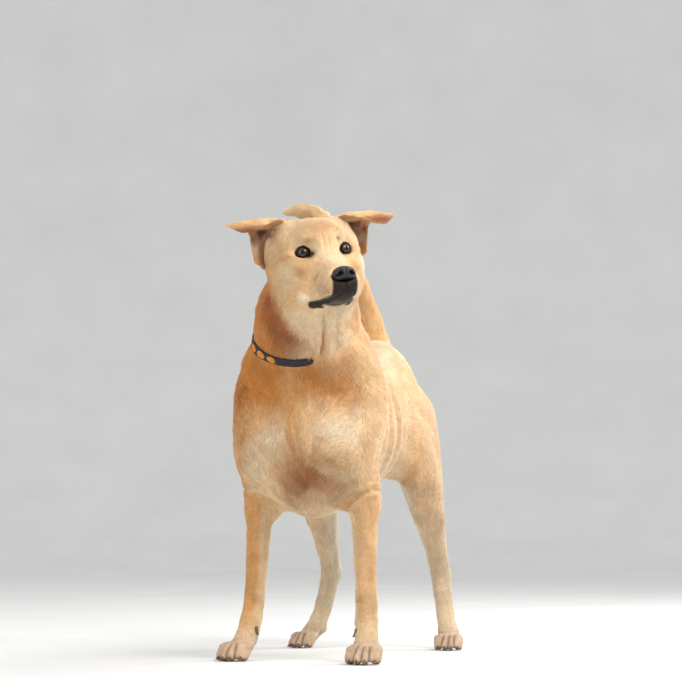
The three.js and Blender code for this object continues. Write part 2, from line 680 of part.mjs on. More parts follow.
// Tail, in three lengths.
const tailRays = {
  axis: tailPath,
  stations: evenly(14),
  sides: 10,
  caps: 3,
  up: V(0, 1, 0),
};
const tailSolid = loft(dogField, tailRays, [tailRootCut]);
const tailMiddleCut = cut(tailPath.getTangentAt(0.4), tailPath.getPointAt(0.4));
const tailTipCut = cut(tailPath.getTangentAt(0.72), tailPath.getPointAt(0.72));
const tailBase = within(tailSolid, [tailRootCut, tailMiddleCut]);
const tailMiddle = within(tailSolid, [flip(tailMiddleCut), tailTipCut]);
const tailTip = within(tailSolid, [flip(tailTipCut)]);
addNode('tail_base', tailBase, COLOURS.tan, COAT_ROUGHNESS);
addNode('tail_middle', tailMiddle, COLOURS.tan, COAT_ROUGHNESS);
addNode('tail_tip', tailTip, COLOURS.cream, COAT_ROUGHNESS);

// Legs.
const FLOOR_CUT = cut(V(0, 0, -1), V(0, 0, -CUT_GAP / 2));
const PAW_CUT_HEIGHT = 62;

// A claw whose base stands clear of the point from, along the direction.
function clawSolid(from, direction, clear, inflate = 0) {
  const d = direction.clone().normalize();
  const lay = new THREE.Quaternion().setFromUnitVectors(V(0, 1, 0), d);
  const middle = from.clone().addScaledVector(d, clear + CLAW_LENGTH / 2);
  const shape = new THREE.ConeGeometry(CLAW_RADIUS + inflate, CLAW_LENGTH + 2 * inflate, 7, 1);
  return solidOfGeometry(shape, new THREE.Matrix4().compose(middle, lay, V(1, 1, 1)));
}

function pawPieces(leg, size) {
  const heading = leg.side * THREE.MathUtils.degToRad(leg.toeOut);
  const turn = new THREE.Matrix4().makeRotationZ(heading);
  const place = (x, y, z) => V(x, y, z).applyMatrix4(turn).add(leg.paw);
  const wide = size.width / FRONT_PAW.width;
  const long = size.length / FRONT_PAW.length;
  const toes = [-1.5, -0.5, 0.5, 1.5].map((slot) => {
    const outer = Math.abs(slot) > 1;
    const x = slot * 13 * wide;
    const reachForward = (outer ? 26 : 37) * long;
    const radius = (outer ? 10.2 : 10.6) * (0.4 + 0.6 * wide);
    const root = place(x * 0.7, 2, 25 * wide);
    const knuckle = place(x * 0.98, -reachForward * 0.45, 25 * wide);
    const tip = place(x * 1.08, -reachForward, radius - PAD_FLAT_DROP);
    const clawTip = place(x * 1.1, -reachForward - radius * 1.5, radius * 0.45);
    return { root, knuckle, tip, clawTip, radius };
  });
  const toeField = ({ root, knuckle, tip, radius }) => union([
    [limb(root, knuckle, radius * 0.95, radius), 0],
    [limb(knuckle, tip, radius, radius * 0.98), 3],
  ]);
  const bodyRays = {
    axis: line(leg.pastern.clone().add(V(0, 4, 22)), leg.paw.clone().add(V(0, 4, 20))),
    stations: evenly(2),
    sides: 9,
    caps: 2,
    up: V(0, -1, 0),
  };
  const solids = () => {
    let paw = loft(dogField, bodyRays);
    for (const toe of toes) {
      const toeRays = {
        axis: line(toe.root, toe.knuckle, toe.tip),
        stations: evenly(2),
        sides: 6,
        caps: 2,
        up: V(0, 0, 1),
      };
      paw = paw.add(loft(toeField(toe), toeRays));
    }
    return paw;
  };
  const claws = toes.map((toe) => clawSolid(toe.tip, toe.clawTip.clone().sub(toe.tip), toe.radius + CUT_GAP));
  return { paw: solids(), claws, wristCut: cut(V(0, 0, 1), V(0, 0, PAW_CUT_HEIGHT)) };
}

const DEWCLAW_CLEAR = 9;
const digitNames = ['first', 'second', 'third', 'fourth'];
function addPaw(name, leg, size, dewclaw = null) {
  const { paw, claws, wristCut } = pawPieces(leg, size);
  const trimmed = within(paw, [wristCut, FLOOR_CUT]);
  addNode(`${name}_paw`, dewclaw ? trimmed.subtract(dewclaw.bed) : trimmed, COLOURS.cream, COAT_ROUGHNESS);
  if (dewclaw) addNode(`${name}_dewclaw`, dewclaw.solid, COLOURS.claw, 0.4);
  claws.forEach((claw, i) => addNode(`${name}_claw_${digitNames[i]}`, claw, COLOURS.claw, 0.4));
  return wristCut;
}

for (const name of ['front_left', 'front_right']) {
  const leg = legs[name];
  const dewclawWay = V(-leg.side * 0.35, -0.35, -0.87);
  const dewclaw = {
    solid: clawSolid(dewclawRoot(leg), dewclawWay, DEWCLAW_CLEAR),
    bed: clawSolid(dewclawRoot(leg), dewclawWay, DEWCLAW_CLEAR, CUT_GAP),
  };
  const wristCut = addPaw(name, leg, FRONT_PAW, dewclaw);
  const legCuts = [...frontLegCuts(leg), flip(wristCut)];
  const aboveElbow = leg.elbow.clone().add(V(-leg.side * 2, -14, 36));
  const belowElbow = leg.elbow.clone().add(V(0, -10, -20));
  const legLoft = loft(dogField, {
    axis: line(aboveElbow, belowElbow, leg.wrist, leg.pastern),
    stations: evenly(9),
    sides: 12,
    caps: 3,
    up: V(0, -1, 0),
  }, legCuts);
  addNode(`${name}_leg`, within(legLoft, legCuts), COLOURS.tan, COAT_ROUGHNESS);
}

for (const name of ['hind_left', 'hind_right']) {
  const leg = legs[name];
  const pawCut = addPaw(name, leg, HIND_PAW);
  const shankLine = leg.hock.clone().sub(leg.knee).normalize();
  const footLine = leg.pastern.clone().sub(leg.hock).normalize();
  const kneeCut = cut(shankLine, leg.knee.clone().lerp(leg.hock, 0.3));
  const hockCut = cut(shankLine.clone().add(footLine), leg.hock.clone().addScaledVector(footLine, 4));
  const thighCuts = [...hindLegCuts(leg), kneeCut];
  const thighTop = leg.hip.clone().add(V(-leg.side * 12, 16, -22));
  const thighFoot = leg.knee.clone().lerp(leg.hip, 0.3).add(V(-leg.side * 8, 16, 0));
  const thighLoft = loft(dogField, {
    axis: line(thighTop, thighFoot),
    stations: evenly(5),
    sides: 16,
    caps: 4,
    up: V(0, -1, 0),
  }, thighCuts);
  addNode(`${name}_thigh`, within(thighLoft, thighCuts), COLOURS.tan, COAT_ROUGHNESS);
  const shankCuts = [flip(kneeCut), hockCut];
  const shankLoft = loft(dogField, {
    axis: line(leg.knee.clone().lerp(leg.hock, 0.22), leg.knee.clone().lerp(leg.hock, 0.96)),
    stations: evenly(6),
    sides: 11,
    caps: 3,
    up: V(0, -1, 0),
  }, shankCuts);
  addNode(`${name}_shank`, within(shankLoft, shankCuts), COLOURS.tan, COAT_ROUGHNESS);
  const footCuts = [flip(hockCut), flip(pawCut)];
  const footLoft = loft(dogField, {
    axis: line(leg.hock.clone().lerp(leg.pastern, 0.05), leg.pastern),
    stations: evenly(4),
    sides: 10,
    caps: 2,
    up: V(0, -1, 0),
  }, footCuts);
  addNode(`${name}_foot`, within(footLoft, footCuts), COLOURS.tan, COAT_ROUGHNESS);
}

// The origin goes to the floor, under the middle of the bounding box.
const reachBox = new THREE.Box3().setFromObject(model);
const middle = reachBox.getCenter(V(0, 0, 0));
for (const node of model.children) node.geometry.translate(-middle.x, -middle.y, -reachBox.min.z);

export default model;
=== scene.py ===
import math

import bpy
import numpy as np
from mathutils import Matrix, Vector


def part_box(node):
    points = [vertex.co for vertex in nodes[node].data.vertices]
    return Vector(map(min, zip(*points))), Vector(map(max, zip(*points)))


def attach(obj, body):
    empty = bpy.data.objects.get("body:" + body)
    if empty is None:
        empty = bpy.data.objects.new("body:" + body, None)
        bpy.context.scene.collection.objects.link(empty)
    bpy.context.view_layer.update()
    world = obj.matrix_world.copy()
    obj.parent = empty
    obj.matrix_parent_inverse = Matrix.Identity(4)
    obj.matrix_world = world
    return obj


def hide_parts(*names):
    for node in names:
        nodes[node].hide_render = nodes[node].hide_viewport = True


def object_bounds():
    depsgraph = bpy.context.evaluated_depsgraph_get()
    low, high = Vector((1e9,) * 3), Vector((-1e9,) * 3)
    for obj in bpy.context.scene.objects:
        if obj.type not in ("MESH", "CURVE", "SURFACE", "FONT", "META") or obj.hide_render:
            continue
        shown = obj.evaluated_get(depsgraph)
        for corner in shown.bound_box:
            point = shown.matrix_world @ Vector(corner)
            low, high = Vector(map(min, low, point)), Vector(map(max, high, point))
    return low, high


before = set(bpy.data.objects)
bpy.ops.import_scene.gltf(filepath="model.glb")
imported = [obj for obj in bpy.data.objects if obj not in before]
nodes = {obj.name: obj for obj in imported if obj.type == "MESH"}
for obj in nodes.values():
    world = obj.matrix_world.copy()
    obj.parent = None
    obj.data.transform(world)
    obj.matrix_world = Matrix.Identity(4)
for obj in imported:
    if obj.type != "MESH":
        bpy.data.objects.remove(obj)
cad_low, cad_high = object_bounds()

import openvdb as vdb
from mathutils import Vector
from mathutils.bvhtree import BVHTree

MM = 0.001
BODY = "root"
SEED = 7
LEFT, RIGHT = 1, -1
SIDES = (("left", LEFT), ("right", RIGHT))
rng = np.random.default_rng(SEED)


# ---- Arrays and meshes ----
def unit(v):
    v = np.asarray(v, float)
    return v / np.maximum(np.linalg.norm(v, axis=-1, keepdims=True), 1e-9)


def dot(a, b):
    return np.einsum("...i,...i->...", a, b)


def ramp(x, start, end):
    """Smooth 0 to 1 as x goes from start to end; start may be above end."""
    t = np.clip((x - start) / (end - start), 0.0, 1.0)
    return t * t * (3 - 2 * t)


def bump(x, middle, spread):
    """1 at a middle, falling to 0 about two spreads away."""
    return np.exp(-(((x - middle) / spread) ** 2))


def circle(turns):
    """Angles evenly round a full circle."""
    return np.arange(turns) * 2 * math.pi / turns


def mirrored(points):
    """The same points, with those on the right brought over to the left."""
    return np.column_stack([np.abs(points[:, 0]), points[:, 1:]])


def grid_quads(rows, columns, closed=(False, True), turned=False):
    """Quads between rows and columns of points; a closed way runs on from its last point to its first."""
    i, j = np.meshgrid(*(np.arange(n - 1 + shut) for n, shut in zip((rows, columns), closed)), indexing="ij")
    here, there = i * columns, (i + 1) % rows * columns
    beside = (j + 1) % columns
    quads = np.stack([here + j, there + j, there + beside, here + beside], -1)
    return quads.reshape(-1, 4)[:, [0, 3, 2, 1] if turned else [0, 1, 2, 3]]


def edges_of(triangles):
    return np.vstack([triangles[:, [0, 1]], triangles[:, [1, 2]], triangles[:, [2, 0]]])


def node_mesh(name):
    """Vertices in millimetres and triangles of a CAD node."""
    mesh = nodes[name].data
    mesh.calc_loop_triangles()
    points = np.empty(len(mesh.vertices) * 3, np.float32)
    mesh.vertices.foreach_get("co", points)
    triangles = np.empty(len(mesh.loop_triangles) * 3, np.int32)
    mesh.loop_triangles.foreach_get("vertices", triangles)
    return points.reshape(-1, 3) / MM, triangles.reshape(-1, 3)


def joined(names):
    """Several CAD nodes as one mesh."""
    points, triangles, start = [], [], 0
    for name in names:
        p, t = node_mesh(name)
        points.append(p)
        triangles.append(t + start)
        start += len(p)
    return np.vstack(points), np.vstack(triangles)


def node_box(name):
    low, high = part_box(name)
    return np.array(low) / MM, np.array(high) / MM


def centre(name):
    low, high = node_box(name)
    return (low + high) / 2


def new_object(name, points, faces, material, normals=None):
    """Mesh object from millimetre points and equal-sided faces, given as a list of index arrays."""
    mesh = bpy.data.meshes.new(name)
    groups = [np.asarray(f, np.int32) for f in faces if len(f)]
    loops = np.concatenate([g.ravel() for g in groups])
    sizes = np.concatenate([np.full(len(g), g.shape[1]) for g in groups])
    mesh.vertices.add(len(points))
    mesh.loops.add(len(loops))
    mesh.polygons.add(len(sizes))
    mesh.vertices.foreach_set("co", (np.asarray(points) * MM).astype(np.float32).ravel())
    mesh.loops.foreach_set("vertex_index", loops)
    mesh.polygons.foreach_set("loop_start", np.concatenate([[0], np.cumsum(sizes)[:-1]]).astype(np.int32))
    mesh.update(calc_edges=True)
    mesh.polygons.foreach_set("use_smooth", np.ones(len(sizes), bool))
    if normals is not None:
        put(mesh, "custom_normal", "FLOAT_VECTOR", normals)
    mesh.materials.append(material)
    mesh.update()
    obj = bpy.data.objects.new(name, mesh)
    bpy.context.scene.collection.objects.link(obj)
    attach(obj, BODY)
    return obj


def put(mesh, name, kind, values):
    """Writes one value for each vertex into a named attribute."""
    layer = mesh.attributes.new(name, kind, "POINT")
    field = {"FLOAT": "value", "FLOAT_VECTOR": "vector", "FLOAT_COLOR": "color"}[kind]
    values = np.asarray(values, np.float32)
    if kind == "FLOAT_COLOR":
        values = np.column_stack([values, np.ones(len(values), np.float32)])
    layer.data.foreach_set(field, values.ravel())


def face_normals(points, triangles):
    """Normals as long as twice each face's area."""
    a, b, c = (points[triangles[:, i]] for i in range(3))
    return np.cross(b - a, c - a)


def vertex_normals(points, triangles):
    """Unit normals, each face counted by its area."""
    faces = face_normals(points, triangles)
    total = np.zeros_like(points)
    for corner in range(3):
        for axis in range(3):
            total[:, axis] += np.bincount(triangles[:, corner], faces[:, axis], len(points))
    return unit(total)


class Web:
    """Neighbours of every vertex, for smoothing."""

    def __init__(self, triangles, count):
        code = np.unique(np.sort(edges_of(triangles), 1) @ np.array([count, 1], np.int64))
        one, two = code // count, code % count
        source = np.concatenate([one, two])
        order = np.argsort(source, kind="stable")
        self.far = np.concatenate([two, one])[order]
        self.degree = np.maximum(np.bincount(source, minlength=count), 1)
        self.start = np.concatenate([[0], np.cumsum(self.degree)[:-1]])

    def mean(self, values):
        return np.add.reduceat(values[self.far], self.start, axis=0) / self.degree[:, None]

    def streaks(self, values, points, flow, rounds):
        """Spreads values along a direction field, so that random values turn into strands."""
        source = np.repeat(np.arange(len(points)), self.degree)
        pull = dot(unit(points[self.far] - points[source]), flow[source]) ** 4 + 1e-4
        total = np.add.reduceat(pull, self.start)
        for _ in range(rounds):
            values = np.add.reduceat(pull * values[self.far], self.start) / total
        return (values - values.mean()) / values.std()

    def relax(self, points, rounds, weight=1.0, grow=-0.53, shrink=0.5):
        """Taubin smoothing: each round shrinks and then grows, so that the volume stays."""
        weight = np.broadcast_to(np.asarray(weight, float).reshape(-1, 1), (len(points), 1))
        for _ in range(rounds):
            for step in (shrink, grow):
                points = points + weight * step * (self.mean(points) - points)
        return points


# ---- Head frame: origin between the eyeballs' centres, X to the dog's left, Y backward, Z up ----
eye_centres = {side: centre(f"eye_{side}") for side, _ in SIDES}
EYE_RADIUS = float(np.mean(node_box("eye_left")[1] - node_box("eye_left")[0])) / 2
NOSE_BEHIND_FALL = (-99.3, -53.0)
head_x = unit(eye_centres["left"] - eye_centres["right"])
eye_middle = (eye_centres["left"] + eye_centres["right"]) / 2
nose_points = node_mesh("nose")[0]
to_nose = (nose_points.min(0) + nose_points.max(0)) / 2 - eye_middle
to_nose = unit(to_nose - head_x * dot(to_nose, head_x))
run, fall = unit(NOSE_BEHIND_FALL)
square = np.cross(head_x, to_nose)
head_y = to_nose * run - square * fall
head_z = to_nose * fall + square * run
head_axes = np.array([head_x, head_y, head_z])


def eye_distance(points):
    """Distance to the nearer eyeball's centre."""
    return np.min([np.linalg.norm(points - middle, axis=1) for middle in eye_centres.values()], 0)


def to_head(points):
    return (np.asarray(points) - eye_middle) @ head_axes.T


def from_head(points):
    return np.asarray(points) @ head_axes + eye_middle


# ---- Skin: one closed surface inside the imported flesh, by the coat's depth ----
FLESH = [name for name in sorted(nodes)
         if name not in ("nose", "collar", "collar_buckle") and "claw" not in name and "eye" not in name]
HEAD_NODES = ("head", "muzzle", "lower_jaw", "ear_left", "ear_right")
CLOSING = 0.8
FLATNESS = 0.3
FIRST_VOXEL = 1.5
BODY_VOXEL = 2.5
HEAD_VOXEL = 1.45
BAND = 26.0
SOFT_SPREAD = 8.0
FIRM_SPREAD = 3.0
FINE_SPREAD = 1.0
FILL_SPREAD = 13.0
BODY_DEPTH = 2.6
FACE_DEPTH = 1.1
THIN_DEPTH = 0.6
GRID_MARGIN = 12
HEAD_MARGIN = 8
NECK_BELOW_COLLAR = 40
EYE_ROOM = 2.2
JOIN_GAP = 1.0
HEAD_REACH = 230
NECK_REACH = 140
FIRST_ROUNDS, EAR_ROUNDS, PAW_ROUNDS, TRUNK_ROUNDS, FOLD_ROUNDS = 10, 18, 60, 30, 2
# Degrees round the neck from the nape, over the dog's left side, between which fur hides the webbing.
HIDDEN_FROM, HIDDEN_TO, HIDDEN_FADE = 52.0, 156.0, 7.0

collar_points = node_mesh("collar")[0]
collar_centre = (collar_points.min(0) + collar_points.max(0)) / 2
collar_axis = np.linalg.svd(collar_points - collar_points.mean(0), full_matrices=False)[2][2]
collar_axis = collar_axis * np.sign(dot(collar_axis, eye_middle - collar_centre))
collar_across = unit(np.array([1.0, 0.0, 0.0]) - collar_axis * collar_axis[0])
collar_back = np.cross(collar_axis, collar_across)


def above_collar(points):
    """Distance from the collar's plane, towards the head."""
    return (np.asarray(points) - collar_centre) @ collar_axis


def near_collar(points):
    return np.linalg.norm(points - collar_centre, axis=1) < NECK_REACH


def collar_angle(points):
    """Degrees round the neck from the nape towards the dog's left side, 0 to 360."""
    offset = np.asarray(points) - collar_centre
    return np.degrees(np.arctan2(offset @ collar_across, offset @ collar_back)) % 360


def collar_hidden(angle):
    """1 where the collar lies under the fur."""
    start = ramp(angle, HIDDEN_FROM - HIDDEN_FADE, HIDDEN_FROM)
    return start * ramp(angle, HIDDEN_TO + HIDDEN_FADE, HIDDEN_TO)


def blur(field, spread):
    """Three box filters along each axis, close to a Gaussian of this spread in cells."""
    width = max(int(round(math.sqrt(4 * spread * spread + 1))), 1)
    width += 1 - width % 2
    if width == 1:
        return field
    half = width // 2
    for axis in range(3):
        field = np.moveaxis(field, axis, 0)
        for _ in range(3):
            ends = np.repeat(field[:1], half + 1, 0), np.repeat(field[-1:], half, 0)
            padded = np.concatenate([ends[0], field, ends[1]])
            total = np.cumsum(padded, axis=0, dtype=np.float32)
            field = (total[width:] - total[:-width]) / width
        field = np.moveaxis(field, 0, axis)
    return np.ascontiguousarray(field)


def closed_flesh(names):
    """These flesh nodes as one closed mesh, with the thin cuts between them filled."""
    points, triangles = joined(names)
    transform = vdb.createLinearTransform(voxelSize=FIRST_VOXEL)
    grid = vdb.FloatGrid.createLevelSetFromPolygons(
        points, triangles=triangles.astype(np.uint32), transform=transform, halfWidth=3.0)
    return grid.convertToPolygons(isovalue=CLOSING, adaptivity=FLATNESS)


def field_in(shell, voxel, low, high):
    """Signed distance to the closed flesh on a dense grid over a box, and the coordinates of its cells."""
    points, triangles, quads = shell
    transform = vdb.createLinearTransform(voxelSize=voxel)
    grid = vdb.FloatGrid.createLevelSetFromPolygons(
        points, triangles=triangles, quads=quads, transform=transform, halfWidth=BAND / voxel)
    first = np.floor(np.asarray(low) / voxel).astype(int)
    last = np.ceil(np.asarray(high) / voxel).astype(int)
    field = np.empty(last - first + 1, np.float32)
    grid.copyToArray(field, ijk=tuple(int(i) for i in first))
    axes = [(first[i] + np.arange(field.shape[i])).astype(np.float32) * voxel for i in range(3)]
    cells = np.meshgrid(*axes, indexing="ij", sparse=True)
    return field + CLOSING, cells, first


def along(cells, direction, origin):
    """How far each cell lies from an origin in a direction."""
    return sum((cells[i] - np.float32(origin[i])) * np.float32(direction[i]) for i in range(3))


def near_box(cells, name, grow, fade):
    """1 inside a node's box grown by some millimetres, fading to 0 outside it."""
    low, high = node_box(name)
    inside = 1.0
    for i in range(3):
        edge = np.minimum(cells[i] - low[i] + grow, high[i] + grow - cells[i])
        inside = inside * ramp(edge, -fade, 0.0)
    return inside.astype(np.float32)


def extract(field, voxel, first):
    """Triangles of the zero surface, facing out."""
    clipped = np.clip(field, -3 * voxel, 3 * voxel)
    grid = vdb.FloatGrid(3 * voxel)
    grid.transform = vdb.createLinearTransform(voxelSize=voxel)
    grid.copyFromArray(clipped, ijk=tuple(int(i) for i in first), tolerance=0.0)
    points, triangles, quads = grid.convertToPolygons(isovalue=0.0, adaptivity=0.0)
    split = np.vstack([triangles, quads[:, [0, 1, 2]], quads[:, [0, 2, 3]]]).astype(np.int64)
    points = points.astype(float)
    volume = dot(points[split[:, 0]], face_normals(points, split)).sum()
    return points, split if volume > 0 else split[:, ::-1]


def largest_piece(points, triangles):
    """Drops stray bits: keeps the connected surface with the most vertices."""
    label = np.arange(len(points))
    while True:
        low = label[triangles].min(1)
        fresh = label.copy()
        for corner in range(3):
            np.minimum.at(fresh, triangles[:, corner], low)
        fresh = fresh[fresh]
        if np.array_equal(fresh, label):
            break
        label = fresh
    keep = label == np.bincount(label).argmax()
    place = np.cumsum(keep) - 1
    return points[keep], place[triangles[keep[triangles[:, 0]]]]


def body_shell(shell):
    """Skin of the whole animal, smoothest on the trunk and sharpest on the paws and the tail's tip."""
    low, high = np.array(cad_low) / MM - GRID_MARGIN, np.array(cad_high) / MM + GRID_MARGIN
    field, cells, first = field_in(shell, BODY_VOXEL, low, high)
    soft, firm = blur(field, SOFT_SPREAD / BODY_VOXEL), blur(field, FIRM_SPREAD / BODY_VOXEL)
    z = cells[2]
    knee = node_box("hind_left_shank")[1][2]
    paw = node_box("front_left_paw")[1][2]
    tail = near_box(cells, "tail_middle", 30, 30) + near_box(cells, "tail_tip", 10, 30)
    trunk = ramp(z, knee - 110, knee + 10) * (1 - np.clip(tail, 0, 1))
    foot = np.maximum(ramp(z, paw + 22, paw - 8), near_box(cells, "tail_tip", -12, 26))
    field = firm + (soft - firm) * trunk + (field - firm) * foot
    del soft, firm
    depth = THIN_DEPTH + (BODY_DEPTH - THIN_DEPTH) * ramp(z, paw * 0.3, paw * 3)
    return extract(field + depth, BODY_VOXEL, first)


def head_shell(shell):
    """Finer skin of the head and neck, closed behind the eyes and kept sharp on the face and ears."""
    boxes = [node_box(name) for name in HEAD_NODES + ("nose",)]
    low = np.min([b[0] for b in boxes], 0) - HEAD_MARGIN
    high = np.max([b[1] for b in boxes], 0) + HEAD_MARGIN
    collar_low, collar_high = collar_points.min(0), collar_points.max(0)
    low = np.minimum(low, np.append(collar_low[:2] - GRID_MARGIN, collar_low[2] - NECK_BELOW_COLLAR))
    high = np.maximum(high, np.append(collar_high[:2] + GRID_MARGIN, high[2]))
    field, cells, first = field_in(shell, HEAD_VOXEL, low, high)
    for side, _ in SIDES:
        middle = eye_centres[side]
        ball = np.sqrt(sum((cells[i] - np.float32(middle[i])) ** 2 for i in range(3)))
        field = np.minimum(field, ball - np.float32(EYE_RADIUS - EYE_ROOM))
    soft = blur(field, SOFT_SPREAD / HEAD_VOXEL)
    firm = blur(field, FIRM_SPREAD / HEAD_VOXEL)
    fine = blur(field, FINE_SPREAD / HEAD_VOXEL)
    height = along(cells, collar_axis, collar_centre)
    forward = -along(cells, head_y, eye_middle)
    upward = along(cells, head_z, eye_middle)
    ears = np.maximum(near_box(cells, "ear_left", 4, 10), near_box(cells, "ear_right", 4, 10))
    ears = ears * ramp(upward, -12, 8)
    hollow = ramp(upward, 30, 12) * ramp(upward, -90, -60) * ramp(forward, -20, -40)
    face = ramp(forward, -12, 12)
    neck = 1 - ramp(height, 25, 75)
    skin = firm + (fine - firm) * face
    skin = skin + (field - skin) * ears
    filled = blur(field, FILL_SPREAD / HEAD_VOXEL) + 0.4
    skin = skin - hollow * np.maximum(skin - filled, 0)
    skin = skin + (soft - skin) * neck
    depth = FACE_DEPTH + (BODY_DEPTH - FACE_DEPTH) * neck
    depth = depth * (1 - ears * (1 - neck))
    return extract(skin + depth, HEAD_VOXEL, first)


def rim(triangles):
    """The longest open edge of a mesh, as vertex indices in order."""
    edges = edges_of(triangles)
    count = int(triangles.max()) + 1
    code = np.sort(edges, 1) @ np.array([count, 1], np.int64)
    _, place, times = np.unique(code, return_index=True, return_counts=True)
    open_edges = edges[place[times == 1]]
    onward = {int(a): int(b) for a, b in open_edges}
    best = []
    while onward:
        start = next(iter(onward))
        loop = [start]
        step = onward.pop(start)
        while step != start and step in onward:
            loop.append(step)
            step = onward.pop(step)
        best = max(best, loop, key=len)
    return best


def join_at_collar(body, head):
    """Cuts both shells at the collar's middle, under its webbing, and zips their edges together."""
    kept = []
    for (points, triangles), side in ((body, -1), (head, 1)):
        middle = points[triangles].mean(1)
        height = above_collar(middle) * side
        reach = np.linalg.norm(middle - collar_centre, axis=1)
        keep = height > JOIN_GAP
        if side < 0:
            keep |= reach > HEAD_REACH
        used = np.zeros(len(points), bool)
        used[triangles[keep]] = True
        place = np.cumsum(used) - 1
        kept.append(largest_piece(points[used], place[triangles[keep]]))
    (body_points, body_faces), (head_points, head_faces) = kept
    points = np.vstack([body_points, head_points])
    head_faces = head_faces + len(body_points)
    across = unit(np.cross(collar_axis, (0.0, 0.0, 1.0)))
    over = np.cross(collar_axis, across)
    loops = []
    for faces in (body_faces, head_faces):
        loop = np.array(rim(faces))
        offset = points[loop] - collar_centre
        angle = np.arctan2(offset @ over, offset @ across)
        if np.sign(np.sin(np.diff(angle))).sum() < 0:
            loop, angle = loop[::-1], angle[::-1]
        turn = int(angle.argmin())
        loops.append((np.roll(loop, -turn), np.unwrap(np.roll(angle, -turn))))
    (one, one_angle), (two, two_angle) = loops
    zipped, i, j = [], 0, 0
    while i < len(one) or j < len(two):
        next_one = one_angle[i + 1] if i + 1 < len(one) else one_angle[0] + 2 * math.pi
        next_two = two_angle[j + 1] if j + 1 < len(two) else two_angle[0] + 2 * math.pi
        here, there = one[i % len(one)], two[j % len(two)]
        if j >= len(two) or (i < len(one) and next_one <= next_two):
            zipped.append((here, one[(i + 1) % len(one)], there))
            i += 1
        else:
            zipped.append((here, two[(j + 1) % len(two)], there))
            j += 1
    zipped = np.array(zipped)
    outward = points[zipped].mean(1) - collar_centre
    if dot(face_normals(points, zipped), outward).sum() < 0:
        zipped = zipped[:, ::-1]
    return points, np.vstack([body_faces, head_faces, zipped])


def grow_skin():
    """The skin before its folds: smoothed at the collar's join, the ears, above the paws and on the trunk."""
    body = body_shell(closed_flesh(FLESH))
    head = head_shell(closed_flesh(HEAD_NODES + ("neck", "chest")))
    points, triangles = join_at_collar(body, head)
    web = Web(triangles, len(points))
    points = web.relax(points, FIRST_ROUNDS)
    local = to_head(points)
    ears = ramp(np.abs(local[:, 0]), 50, 62) * ramp(local[:, 2], 0, 14) * ramp(local[:, 1], 20, 30)
    ears = ears * (np.abs(local).max(1) < 170)
    points = web.relax(points, EAR_ROUNDS, ears)
    above_paws = ramp(points[:, 2], 10, 24) * ramp(points[:, 2], 70, 50)
    points = web.relax(points, PAW_ROUNDS, above_paws)
    trunk = ramp(points[:, 2], 200, 320) * ramp(above_collar(points), 20, -10)
    points = web.relax(points, TRUNK_ROUNDS, trunk)
    return points, triangles, web


skin_points, skin_faces, skin_web = grow_skin()


# ---- Regions: the CAD node nearest to each point of the skin ----
def nearest_nodes(points):
    corners, faces = joined(FLESH)
    owner = np.concatenate([np.full(len(node_mesh(name)[1]), i) for i, name in enumerate(FLESH)])
    tree = BVHTree.FromPolygons([Vector(p) for p in corners.tolist()], faces.tolist())
    find = tree.find_nearest
    return owner[[find(p)[2] for p in points.tolist()]]


skin_owner = nearest_nodes(skin_points)


def owned(owner, *starts):
    """1 where the nearest node's name starts with any of these words."""
    table = np.array([any(name.startswith(word) for word in starts) for name in FLESH])
    return table[owner]


REGIONS = {
    "head": ("head", "muzzle", "lower_jaw"), "ears": ("ear",), "neck": ("neck",),
    "trunk": ("chest", "belly", "rump"), "front": ("front",), "hind": ("hind",), "tail": ("tail",),
}
REGION_ROUNDS = 45
shares = np.column_stack([owned(skin_owner, *starts) for starts in REGIONS.values()]).astype(float)
for _ in range(REGION_ROUNDS):
    shares = 0.25 * shares + 0.75 * skin_web.mean(shares)
skin_regions = dict(zip(REGIONS, shares.T))


# ---- Colours of the coat ----
def colour(red, green, blue):
    """Linear colour of an sRGB triple from 0 to 255."""
    c = np.array([red, green, blue]) / 255
    return np.where(c <= 0.04045, c / 12.92, ((c + 0.055) / 1.055) ** 2.4)


TAN, DEEP, RUST = colour(228, 178, 120), colour(201, 126, 50), colour(152, 82, 30)
CREAM, PALE, ASH = colour(240, 215, 176), colour(252, 237, 210), colour(216, 198, 170)
BLACK, UMBER, BLUSH = colour(24, 21, 21), colour(92, 58, 40), colour(188, 146, 126)
# Dark brown of the inner ear: its darker skin, and painted shade in its folds and under the flap.
EAR_DARK_AND_SHADE = colour(86, 46, 42)


def wave(points, length, seed, turns=6):
    """Smooth noise from -1 to 1: a few sine waves of about this length in random directions."""
    draw = np.random.default_rng(seed)
    total = np.zeros(len(points))
    for _ in range(turns):
        direction = unit(draw.normal(size=3)) * draw.uniform(0.6, 1.5) * 2 * math.pi / length
        total += np.sin(points @ direction + draw.uniform(0, 2 * math.pi))
    return total / math.sqrt(turns / 2) / 1.6


def blob(local, middle, radii):
    """1 at a middle, falling to 0 about two radii away."""
    return np.exp(-(((local - np.array(middle)) / np.array(radii)) ** 2).sum(1))


def segment_distance(points, start, end):
    """Distance to a straight line between two places."""
    start, end = np.array(start), np.array(end)
    t = np.clip((points - start) @ (end - start) / dot(end - start, end - start), 0, 1)
    return np.linalg.norm(points - start - t[:, None] * (end - start), axis=1)


def tint(base, paint, amount):
    """A base colour taken towards a paint by amounts from 0 to 1."""
    return base + (paint - base) * np.clip(amount, 0, 1)[:, None]


